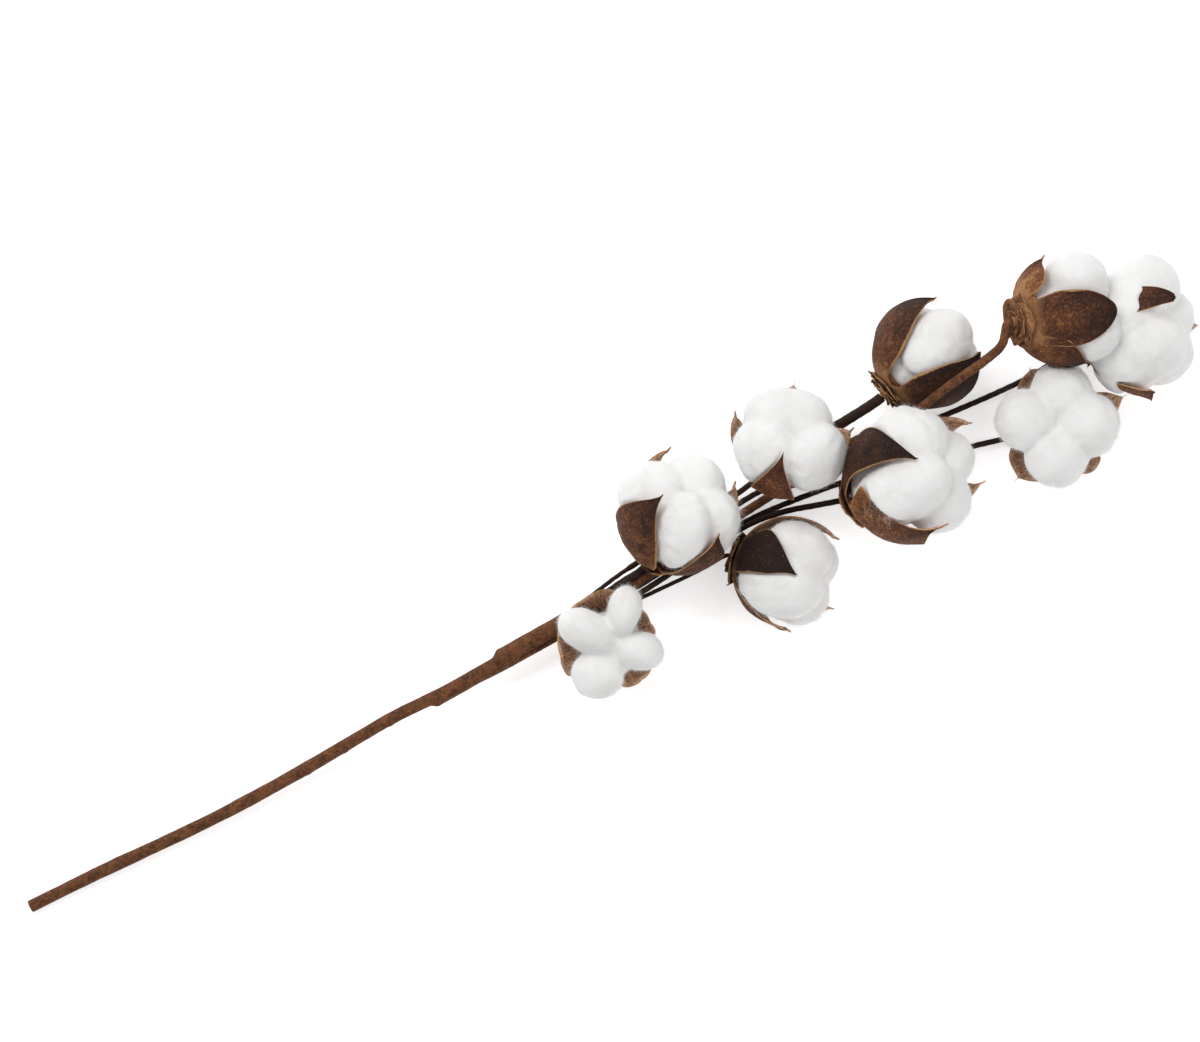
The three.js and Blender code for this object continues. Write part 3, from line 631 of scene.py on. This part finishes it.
# The profile of the cup: reach in degrees, and mm out from the boll's radius.
CUP_PROFILE = (
    (0, -0.2), (8, 0.1), (16, 0), (26, -0.5), (33, -0.9),
    (36, -1.4), (34, -2), (24, -2.2), (12, -2.2), (0, -2.2),
)
CUP_SIDES = 60
CUP_LUMP_HEIGHT = 0.25
CUP_LUMP_SIZE = 1.6
NECK_RADIUS = 1.9
NECK_RINGS = 9
NECK_SIDES = 22
# Rings of sepals: how many, how wide, and the reach and height of their tips.
CALYX_RINGS = ((5, 1.25, 29, 1.3), (5, 0.9, 21, 2.1), (6, 0.8, 13, 2.2))
TURN_SPREAD = 12
REACH_SPREAD = 3
RISE_SHARES = (0.5, 1.1)
SEPAL_ROWS = 12
SEPAL_COLUMNS = 9
SEPAL_ROOT = 6
SEPAL_CLEARANCE = 0.7
SEPAL_THICKNESS = 0.56
CUP_SHADE, TOP_CUP_SHADE = 0.6, 0.25
CALYX_SHADE, TOP_CALYX_SHADE = 1.3, 0.85


def compass(boll, turn, reach):
    """Directions from a boll's middle at turns and reaches in radians: outward and round the axis."""
    axis, first, second = axes_of(boll)
    side = np.cos(turn)[..., None] * first + np.sin(turn)[..., None] * second
    out = side * np.sin(reach)[..., None] - axis * np.cos(reach)[..., None]
    return out, np.cross(axis, side)


def crumple(down, aside, layer, seed):
    """Smooth bumps over a grid of places on a piece, given down it and across it."""
    places = np.stack(np.broadcast_arrays(down, aside, layer), -1)
    return ripple(places.reshape(-1, 3), 1, seed).reshape(places.shape[:-1])


def valve_shape(boll, valve, seed):
    """One valve as rows of points, each a closed loop over the outside and back along the inside.

    t counts along the valve, s from edge to edge, and inside is 0 on its outer face and 1 on its inner one.
    """
    turn, reach, width, dark, spur, lean, curl, taper, _, flat, sweep = valve
    radius = boll["radius"]
    start, end, foot = math.radians(VALVE_START), math.radians(reach), math.radians(VALVE_FOOT)
    spur_heights = end + np.linspace(0.2, 1, SPUR_ROWS) * spur / radius
    heights = np.concatenate([np.linspace(foot, end, VALVE_ROWS), spur_heights])
    across = np.linspace(-1, 1, VALVE_COLUMNS + 1)
    loop = np.concatenate([across, [RIM_SWELL], across[::-1], [-RIM_SWELL]])
    inner = np.concatenate([across * 0, [0.5], across * 0 + 1, [0.5]])
    t = ((heights - start) / (end - start))[:, None] + 0 * loop[None, :]
    s = loop[None, :] + 0 * t
    inside = inner[None, :] + 0 * t
    past = np.clip((t - 1) * (end - start) * radius / max(spur, 0.1), 0, 1)
    share = np.interp(t, WIDTH_PLACES, WIDTH_SHARES) ** taper
    share = np.where(t > 1, WIDTH_SHARES[-1] ** taper * (1 - 0.85 * past**0.5), share)
    edge_wave = 1 + EDGE_WAVE * crumple(t * 5, s * 0.8, 0, seed)
    aside = s * math.radians(width) * share * edge_wave
    swept = aside + math.radians(sweep) * np.sin(math.pi * np.clip(t, 0, 1))
    out, round_axis = compass(boll, np.full(t.shape, math.radians(turn)), heights[:, None] + 0 * t)
    out = out * np.cos(swept)[..., None] + round_axis * np.sin(swept)[..., None]
    wrinkle = crumple(s * 6 + t, t * 3.2, turn, seed + 5)
    bulge = ripple(out.reshape(-1, 3) * radius, BULGE_SIZE, seed + 9).reshape(t.shape)
    thinned = np.maximum(np.abs(s), np.clip(t, 0, 1) ** 3)
    thickness = VALVE_THICKNESS + (EDGE_THICKNESS - VALVE_THICKNESS) * thinned
    thickness = thickness * np.where(t > 1, 0.9 - 0.5 * past, 1)
    rib_length = smooth_step(t, 0.1, 0.3) * (1 - smooth_step(t, 0.75, 0.95))
    rib = RIB_HEIGHT * np.exp(-((s / RIB_BREADTH) ** 2)) * rib_length
    middle = radius + lean * t * np.abs(t) * (t > 0) + curl * smooth_step(t, 0.7, 1) + past * spur * SPUR_LIFT
    middle = middle - thickness / 2 + WRINKLE_HEIGHT * wrinkle
    middle = middle + BULGE_HEIGHT * bulge * smooth_step(t, 0.05, 0.3)
    middle = middle + EDGE_LIFT * smooth_step(np.abs(s), 0.8, 1) * smooth_step(t, 0.2, 0.4)
    middle = middle + radius * flat * (1 / np.cos(aside) - 1) * smooth_step(t, 0.1, 0.5)
    away = middle + thickness * (0.5 - inside) - rib * (inside > 0.9)
    points = out * away[..., None] + np.array(boll["centre"])
    marks = {
        "along": np.clip(t, 0, 1), "rim": np.abs(s), "inside": inside, "dark": 0 * t + dark,
        "across": s * share * math.radians(width) * radius, "length": t * (end - start) * radius,
    }
    return points, marks


def add_closed_rows(points, marks, pieces, first):
    """Adds rows of closed loops to the pieces of a husk, with a cap at either end, and counts its points."""
    rows, loop = points.shape[:2]
    pieces["points"].append(points.reshape(-1, 3))
    pieces["points"].append(np.stack([points[0].mean(0), points[-1].mean(0)]))
    for label, values in marks.items():
        values = np.append(values.reshape(-1), [values[0, 0], values[-1, 0]])
        pieces["marks"].setdefault(label, []).append(values)
    low, high = first + rows * loop, first + rows * loop + 1
    top = first + (rows - 1) * loop
    pieces["faces"] += ring_faces(rows, loop, first)
    pieces["faces"] += [[low, first + (i + 1) % loop, first + i] for i in range(loop)]
    pieces["faces"] += [[high, top + i, top + (i + 1) % loop] for i in range(loop)]
    return high + 1


def cup_shape(boll, seed):
    """The cup under a boll, turned round its axis from a closed profile."""
    profile = np.array(CUP_PROFILE, float) + (0, boll["radius"])
    reach, away = profile.T
    turn = np.arange(CUP_SIDES) * 2 * math.pi / CUP_SIDES
    reach_grid = np.radians(reach)[None, :] + 0 * turn[:, None]
    out, _ = compass(boll, turn[:, None] + 0 * reach_grid, reach_grid)
    lump = ripple(out.reshape(-1, 3) * boll["radius"], CUP_LUMP_SIZE, seed).reshape(reach_grid.shape)
    return out * (away[None, :] + CUP_LUMP_HEIGHT * lump)[..., None] + np.array(boll["centre"])


def sepal_shape(boll, turn, spread, tip, height, shade, seed):
    """One dry, crumpled lobe of the calyx, as rows of closed loops from its root to its tip."""
    t = np.linspace(0, 1, SEPAL_ROWS)[:, None]
    across = np.linspace(-1, 1, SEPAL_COLUMNS)
    loop = np.concatenate([across, across[::-1]])[None, :]
    side = np.concatenate([np.ones(SEPAL_COLUMNS), -np.ones(SEPAL_COLUMNS)])[None, :]
    folds = crumple(t * 3, loop * 2, 0, seed)
    fine = crumple(t * 7, loop * 5, 0, seed + 1)
    reach = np.radians(SEPAL_ROOT + (tip - SEPAL_ROOT) * t + 2.5 * folds * t)
    width = spread * (0.62 + 0.75 * t) * (1 - t**3) + 0.02
    aside = np.radians(turn) + loop * width * np.sin(math.radians(20)) / np.maximum(np.sin(reach), 0.14)
    out, _ = compass(boll, aside, reach)
    away = boll["radius"] + SEPAL_CLEARANCE + height * t**1.5
    away = away + (1.1 * folds + 0.5 * fine) * (0.35 + t) + side * SEPAL_THICKNESS / 2
    plain = 0 * away
    # The dark mark of a sepal is partly painted shade: darker towards its root and in the hollows of its
    # folds, where the sepals crowd over one another.
    marks = {
        "along": plain + 0.25, "rim": plain + np.abs(loop), "inside": plain + 0.4,
        "dark": shade - 0.6 * t - 0.5 * folds, "across": plain + loop * width * 6, "length": plain + t * 8,
    }
    return out * away[..., None] + np.array(boll["centre"]), marks


def husk_finish():
    """Dry husk: rusty to near-black outside with pale pits, tan at the foot, rims and fibrous inside."""
    finish = Finish("dry_husk")
    along, rim, inside, dark = (finish.mark(name) for name in ("along", "rim", "inside", "dark"))
    lay = finish.node(
        "ShaderNodeCombineXYZ", {}, {0: finish.mark("across"), 1: finish.mark("length"), 2: dark * 40},
    )
    blotch = finish.grain(130, 4, 0.6)
    speck = finish.grain(900, 3, 0.65)
    streak = finish.grain(1.1, 4, 0.65, lay, (1.6, 0.22, 1))
    # dark is each valve's own darkness, and on the calyx also painted shade at the sepals' roots and in their
    # folds.
    depth = dark * 0.72 + (along - 0.42) * 0.55 + (blotch - 0.5) * 1.1 + (speck - 0.5) * 1.5 + 0.12
    outer = finish.ramp(depth, [
        (0.0, (0.38, 0.19, 0.08)), (0.18, (0.24, 0.098, 0.04)), (0.42, (0.125, 0.048, 0.023)),
        (0.68, (0.052, 0.023, 0.0155)), (1.0, (0.022, 0.0125, 0.0105)),
    ])
    foot_tan, pit_tan, rim_tan = (0.36, 0.19, 0.085), (0.33, 0.16, 0.075), (0.5, 0.28, 0.12)
    outer = finish.blend(finish.step(along, 0.16, 0.0) * 0.55, outer, foot_tan)
    outer = finish.blend(finish.step(speck, 0.6, 0.7) * 0.3, outer, pit_tan)
    tan = finish.ramp(streak * 0.8 + speck * 0.4 - 0.1, [
        (0.32, (0.11, 0.044, 0.024)), (0.44, (0.4, 0.205, 0.118)), (0.6, (0.68, 0.44, 0.29)),
    ])
    tan = finish.blend((dark * 1.3 - 0.5).clamped() * 0.6, tan, (0.13, 0.058, 0.028))
    ragged_rim = rim + (speck - 0.5) * 0.12 + (blotch - 0.5) * 0.16
    rimmed = finish.step(ragged_rim, 0.955, 1.01) * finish.step(along, 0.03, 0.2)
    outer = finish.blend(rimmed * 0.85, outer, rim_tan)
    finish.wear(Base_Color=finish.blend(finish.step(inside, 0.35, 0.65), outer, tan))
    finish.wear(Roughness=0.5 + speck * 0.35, Specular_IOR_Level=0.09)
    finish.relief(streak * 0.7 + speck * 0.5 + blotch * 0.5, 0.00045, 0.75)
    return finish


dry_husk = husk_finish()
TABLE_CLEARANCE = 0.05
husk_meshes = {}
for number, boll in BOLLS.items():
    is_top = number == TOP_BOLL
    pieces = {"points": [], "faces": [], "marks": {}}
    first = 0
    for i, valve in enumerate(boll["valves"]):
        first = add_closed_rows(*valve_shape(boll, valve, number * 20 + i), pieces, first)
    cup = cup_shape(boll, number * 7)
    plain = np.zeros(cup.shape[:2])
    marks = {label: plain for label in pieces["marks"]}
    marks |= {"along": plain + 0.2, "dark": plain + (TOP_CUP_SHADE if is_top else CUP_SHADE)}
    pieces["points"].append(cup.reshape(-1, 3))
    for label, values in marks.items():
        pieces["marks"][label].append(values.reshape(-1))
    sides, loop = cup.shape[:2]
    for side in range(sides):
        here, after = first + side * loop, first + (side + 1) % sides * loop
        pieces["faces"] += [[here + k, here + k + 1, after + k + 1, after + k] for k in range(loop - 1)]
    first += sides * loop
    axis = axes_of(boll)[0]
    neck_places = np.linspace(0, 1, NECK_RINGS)
    down_neck = boll["radius"] - 0.5 + (NECK_LENGTH + 0.5) * neck_places[:, None]
    neck_line = np.array(boll["centre"]) - axis * down_neck
    neck_radii = NECK_RADIUS * (1.75 - 0.95 * neck_places**0.5)
    points, faces, _ = wound_rod(
        neck_line, neck_places * 4, neck_radii, NECK_SIDES, lap=2.4, ridge=0.35, seed=number,
    )
    pieces["points"].append(points)
    pieces["faces"] += [[corner + first for corner in face] for face in faces]
    for label, values in pieces["marks"].items():
        values.append(np.full(len(points), 0.3 if label == "inside" else 0.0))
    first += len(points)
    chance = np.random.default_rng(300 + number)
    for ring, (count, spread, tip, height) in enumerate(CALYX_RINGS):
        for i in range(count):
            turn = 360 * (i + 0.5 * ring) / count + chance.uniform(-TURN_SPREAD, TURN_SPREAD)
            reach = tip + chance.uniform(-REACH_SPREAD, REACH_SPREAD)
            rise = height * chance.uniform(*RISE_SHARES)
            shade = TOP_CALYX_SHADE if is_top else CALYX_SHADE
            sepal = sepal_shape(boll, turn, spread, reach, rise, shade, number * 31 + ring * 7 + i)
            first = add_closed_rows(*sepal, pieces, first)
    points = np.vstack(pieces["points"])
    points[:, 2] = np.maximum(points[:, 2], TABLE_CLEARANCE)
    marks = {label: np.concatenate(values) for label, values in pieces["marks"].items()}
    make_piece(f"dry_husk_{number}", points, pieces["faces"], dry_husk, [f"husk_{number}"], marks)
    husk_meshes[number] = BVHTree.FromPolygons(points.tolist(), pieces["faces"])

# The cotton: four to six locks of soft white fibre in each boll, joined at its heart. The locks swell out
# between the valves, which press them in, and their surface is a mat of fine loose fibres.
# The heart of a boll is one more lock.
HEART = (0, 0, 0.26, (0.66, 0.66, 0.66))
EGG_RINGS = 18
EGG_SIDES = 26
VOXEL = 0.8
UNDER_VALVE = 0.55
RISE_BESIDE_VALVE = 5
BARE_FADE = 0.03
PRESS_GAP = 0.75
CUP_REACH = 38
CUP_DEPTH = 2.7
NO_LIMIT = 1e3


def egg_points(boll, turn, reach, out, size):
    """An egg-shaped lock as rings of points, and the faces between them."""
    rings, sides = EGG_RINGS, EGG_SIDES
    angle = (np.arange(1, rings) * math.pi / rings)[:, None]
    around = (np.arange(sides) * 2 * math.pi / sides)[None, :]
    side_ways, up_ways = np.sin(angle) * np.cos(around), np.sin(angle) * np.sin(around)
    ball = np.stack([side_ways, np.cos(angle) + 0 * around, up_ways], -1)
    ball = np.vstack([ball.reshape(-1, 3), [[0, 1, 0], [0, -1, 0]]])
    outward, across = compass(boll, np.array(math.radians(turn)), np.array(math.radians(reach)))
    along = np.cross(outward, across)
    basis = np.stack([across, along, outward])
    middle = np.array(boll["centre"]) + outward * out * boll["radius"]
    faces = [face[::-1] for face in ring_faces(rings - 1, sides)]
    top, bottom = (rings - 1) * sides, (rings - 1) * sides + 1
    faces += [[top, i, (i + 1) % sides] for i in range(sides)]
    last = (rings - 2) * sides
    faces += [[bottom, last + (i + 1) % sides, last + i] for i in range(sides)]
    return middle + (ball * size * boll["radius"]) @ basis, faces


def fused(points, faces):
    """One closed skin round overlapping shapes."""
    mesh = bpy.data.meshes.new("eggs")
    mesh.from_pydata(points.tolist(), [], faces)
    lump = bpy.data.objects.new("eggs", mesh)
    bpy.context.scene.collection.objects.link(lump)
    skin = lump.modifiers.new("skin", "REMESH")
    skin.mode = "VOXEL"
    skin.voxel_size = VOXEL
    shaped = lump.evaluated_get(bpy.context.evaluated_depsgraph_get()).to_mesh()
    skinned = np.zeros(len(shaped.vertices) * 3, np.float32)
    shaped.vertices.foreach_get("co", skinned)
    skin_faces = [list(face.vertices) for face in shaped.polygons]
    bpy.data.objects.remove(lump)
    bpy.data.meshes.remove(mesh)
    return skinned.reshape(-1, 3).astype(float), skin_faces


def eased(points, pairs, times):
    """Points drawn towards the middle of their neighbours."""
    count = np.bincount(pairs.reshape(-1), minlength=len(points))[:, None]
    for _ in range(times):
        total = np.zeros_like(points)
        np.add.at(total, pairs[:, 0], points[pairs[:, 1]])
        np.add.at(total, pairs[:, 1], points[pairs[:, 0]])
        points = points + 0.5 * (total / count - points)
    return points


def pressed(boll, points, neighbours):
    """The points of the cotton, drawn in under its valves, clear of its neighbours and onto the table."""
    centre = np.array(boll["centre"])
    away = points - centre
    distance = np.linalg.norm(away, axis=1)
    ray = away / distance[:, None]
    axis, first, second = axes_of(boll)
    reach = np.arccos(np.clip(-ray @ axis, -1, 1))
    limit = np.full(len(points), NO_LIMIT)
    for valve in boll["valves"]:
        turn = math.radians(valve.turn)
        side = math.cos(turn) * first + math.sin(turn) * second
        cross = np.cross(axis, side)
        aside = np.arcsin(np.clip(ray @ cross, -1, 1))
        height = np.arctan2(ray @ side, -ray @ axis)
        t = (height - math.radians(VALVE_START)) / math.radians(valve.reach - VALVE_START)
        aside = aside - math.radians(valve.sweep) * np.sin(math.pi * np.clip(t, 0, 1))
        half = math.radians(valve.width) * np.interp(t, WIDTH_PLACES, WIDTH_SHARES) ** valve.taper
        beside = (np.abs(aside) - half) * boll["radius"]
        cover = (1 - smooth_step(beside, 0.5, 2.2)) * (1 - smooth_step(t, 1.0, 1.06)) * (height > 0)
        if valve.bare_from:
            rounded = t - 0.1 * (aside / half) ** 2
            cover = cover * smooth_step(rounded, valve.bare_from - BARE_FADE, valve.bare_from + BARE_FADE)
        inner = boll["radius"] + valve.lean * t * np.abs(t) - VALVE_THICKNESS - UNDER_VALVE
        inner = inner + boll["radius"] * valve.flat * (1 / np.cos(aside) - 1) * smooth_step(t, 0.1, 0.5)
        limit = np.minimum(limit, np.where(cover > 0.02, inner + (1 - cover) * RISE_BESIDE_VALVE, NO_LIMIT))
    in_cup = reach < math.radians(CUP_REACH)
    limit = np.where(in_cup, np.minimum(limit, boll["radius"] - CUP_DEPTH), limit)
    for number in neighbours:
        for i in np.nonzero(distance > 0.5 * boll["radius"])[0]:
            hit = husk_meshes[number].ray_cast(centre, ray[i], distance[i] + 1.5)
            if hit[3] is not None:
                limit[i] = min(limit[i], hit[3] - PRESS_GAP)
    distance = np.minimum(distance, limit)
    points = centre + ray * distance[:, None]
    points[:, 2] = np.maximum(points[:, 2], 0.02)
    return points


def lies_over(husk, boll, point):
    """Whether a point is on the far side of a husk from its boll's middle."""
    away = point - np.array(boll["centre"])
    distance = np.linalg.norm(away)
    return husk.ray_cast(boll["centre"], away / distance, distance)[0] is not None


def fibre_strips(boll, points, normals, chance, count, reach, lift, breadth, husk, heading=(0, 0, 0)):
    """Fine curved fibres that rise off the surface, as tapered strips of three faces.

    reach and lift are ranges, of their length and of the part of it that they rise. Most of them run along
    heading, and those that would lie over the husk are left out where a husk is given.
    """
    picks = chance.integers(0, len(points), count)
    start, up = points[picks], normals[picks]
    start = start + chance.normal(0, 0.35, start.shape)
    start -= up * 0.25
    drift = chance.normal(size=start.shape) + np.array(heading)
    flat = drift - up * np.sum(drift * up, 1)[:, None]
    flat /= np.linalg.norm(flat, axis=1)[:, None]
    veer = np.cross(up, flat) * chance.normal(0, 0.5, (count, 1))
    length = chance.uniform(*reach, (count, 1))
    rise = chance.uniform(*lift, (count, 1)) * length
    width = np.cross(flat, up) * breadth
    rows = []
    for share, thin in ((0, 0.8), (0.38, 1), (0.72, 0.7)):
        spot = start + flat * length * share + veer * length * share**2 + up * rise * math.sin(share * 2.2)
        rows.append(spot - width * thin)
        rows.append(spot + width * thin)
    tip = start + flat * length + veer * length + up * rise * math.sin(2.2)
    strips = np.stack([*rows, tip], 1)
    strips[:, :, 2] = np.maximum(strips[:, :, 2], TABLE_CLEARANCE)
    if husk:
        strips = strips[[not any(lies_over(husk, boll, strip[k]) for k in (2, 4, 6)) for strip in strips]]
    base = (np.arange(len(strips)) * 7)[:, None]
    quads = np.concatenate([base + (0, 1, 3, 2), base + (2, 3, 5, 4)]).tolist()
    return strips.reshape(-1, 3), quads + (base + (4, 5, 6)).tolist()


def cotton_finish(name, relief):
    """Raw cotton: warm white with faint grey and cream patches, painted cream-grey shade in the creases, and
    finely matted.
    """
    finish = Finish(name)
    patch = finish.grain(90, 3, 0.5)
    mat = finish.grain(520, 6, 0.75, stretch=(1, 0.4, 0.7))
    fluff = finish.ramp(patch, [(0.3, (0.86, 0.855, 0.845)), (0.6, (0.91, 0.908, 0.9))])
    # Painted shade: the creases are blended towards a darker cream-grey, by how deep each point lies in one.
    fluff = finish.blend((finish.mark("crease") * 0.5).clamped(), fluff, (0.78, 0.755, 0.71))
    fluff = finish.blend(finish.step(mat, 0.42, 0.3) * 0.25, fluff, (0.74, 0.73, 0.71))
    finish.wear(Base_Color=fluff, Roughness=0.95, Specular_IOR_Level=0.1)
    finish.wear(Sheen_Weight=0.25, Sheen_Roughness=0.6)
    if relief:
        finish.wear(Subsurface_Weight=0.35, Subsurface_Radius=(1, 0.95, 0.9), Subsurface_Scale=0.003)
        finish.relief(mat + patch * 0.8, 0.0008, 0.5)
    return finish


raw_cotton = cotton_finish("raw_cotton", True)
loose_fibre = cotton_finish("loose_fibre", False)
MAT_FIBRES = {"count": 10000, "reach": (1.4, 3.6), "lift": (0.08, 0.4), "breadth": 0.034}
STRAY_FIBRES = {"count": 160, "reach": (3, 6), "lift": (0.08, 0.35), "breadth": 0.035}
WISP_FIBRES = {"reach": (3, 8), "lift": (0, 0.4), "breadth": 0.02}
# Wisps pulled out of the cotton: their turn and reach, how far round that they spread, where they point to
# the right, up and out of the picture, and how many they are.
WISPS = {
    2: (124, 116, 0.3, (2.2, 0.8, 0.2), 200),
    5: (14, 86, 0.32, (0.3, -2.2, 0.1), 160),
    7: (110, 94, 0.4, (-2.6, -0.6, 0), 120),
}
# The husks that press on the cotton of other bolls.
LEANS_ON = {7: (8,), 8: (9,), 9: (8,)}
EASE_EGGS, EASE_PRESSED, EASE_HOLLOWS = 3, 2, 14
HOLLOW_DEPTH = 0.8
# Bumps of the cotton: how deep or high, how far apart, and what is added to the boll's number as a seed.
FOLDS = ((1, 11, 60), (0.5, 6, 80))
LUMPS = ((0.8, 10, 0), (0.4, 4, 40), (0.12, 1.8, 0))
for number, boll in BOLLS.items():
    chance = np.random.default_rng(700 + number)
    husk = husk_meshes[number]
    egg_list, faces = [], []
    for turn, reach, out, size in [*boll["locks"], HEART]:
        egg, egg_faces = egg_points(boll, turn, reach, out, size)
        faces += [[corner + sum(map(len, egg_list)) for corner in face] for face in egg_faces]
        egg_list.append(egg)
    points, faces = fused(np.vstack(egg_list), faces)
    corners = np.array([face if len(face) == 4 else [*face, face[-1]] for face in faces])
    pairs = np.sort(np.stack([corners, np.roll(corners, -1, 1)], -1).reshape(-1, 2), 1)
    pairs = np.unique(pairs[pairs[:, 0] != pairs[:, 1]], axis=0)
    points = eased(points, pairs, EASE_EGGS)
    outward = points - np.array(boll["centre"])
    outward /= np.linalg.norm(outward, axis=1)[:, None]
    folds = sum(depth * (1 - np.abs(ripple(points, size, number + more))) ** 6 for depth, size, more in FOLDS)
    lumps = sum(height * ripple(points, size, number + more) for height, size, more in LUMPS)
    points = points + outward * (lumps - 0.55 * folds + 0.15)[:, None]
    points = pressed(boll, points, LEANS_ON.get(number, ()))
    points = pressed(boll, eased(points, pairs, EASE_PRESSED), LEANS_ON.get(number, ()))
    hollow = eased(points, pairs, EASE_HOLLOWS) - points
    spans = points[corners]
    facing = np.cross(spans[:, 2] - spans[:, 0], spans[:, 3] - spans[:, 1])
    normals = np.zeros_like(points)
    for k in range(4):
        np.add.at(normals, corners[:, k], facing)
    normals /= np.maximum(np.linalg.norm(normals, axis=1), 1e-9)[:, None]
    # How deep each point lies in a crease. It sets the painted shade there, and loose fibres grow only where
    # it is below a half.
    crease = np.clip(np.sum(hollow * normals, 1) / HOLLOW_DEPTH, 0, 1)
    name = f"cotton_locks_{number}"
    make_piece(name, points, faces, raw_cotton, [f"cotton_{number}"], {"crease": crease})
    bare = crease < 0.5
    tangles = [
        fibre_strips(boll, points[bare], normals[bare], chance, husk=husk, **fibres)
        for fibres in (MAT_FIBRES, STRAY_FIBRES)
    ]
    if number in WISPS:
        turn, reach, spread, heading, count = WISPS[number]
        towards, _ = compass(boll, np.array(math.radians(turn)), np.array(math.radians(reach)))
        near = np.linalg.norm(outward - towards, axis=1) < spread
        heading = np.array(heading) @ (PICTURE_RIGHT, PICTURE_UP, (0, 0, 1))
        tangles.append(fibre_strips(
            boll, points[near], normals[near], chance, count, husk=None, heading=heading, **WISP_FIBRES,
        ))
    strands, strand_faces = np.zeros((0, 3)), []
    for tangle, tangle_faces in tangles:
        strand_faces += [[corner + len(strands) for corner in face] for face in tangle_faces]
        strands = np.vstack([strands, tangle])
    marks = {"crease": np.zeros(len(strands))}
    make_piece(f"cotton_fibres_{number}", strands, strand_faces, loose_fibre, (), marks)
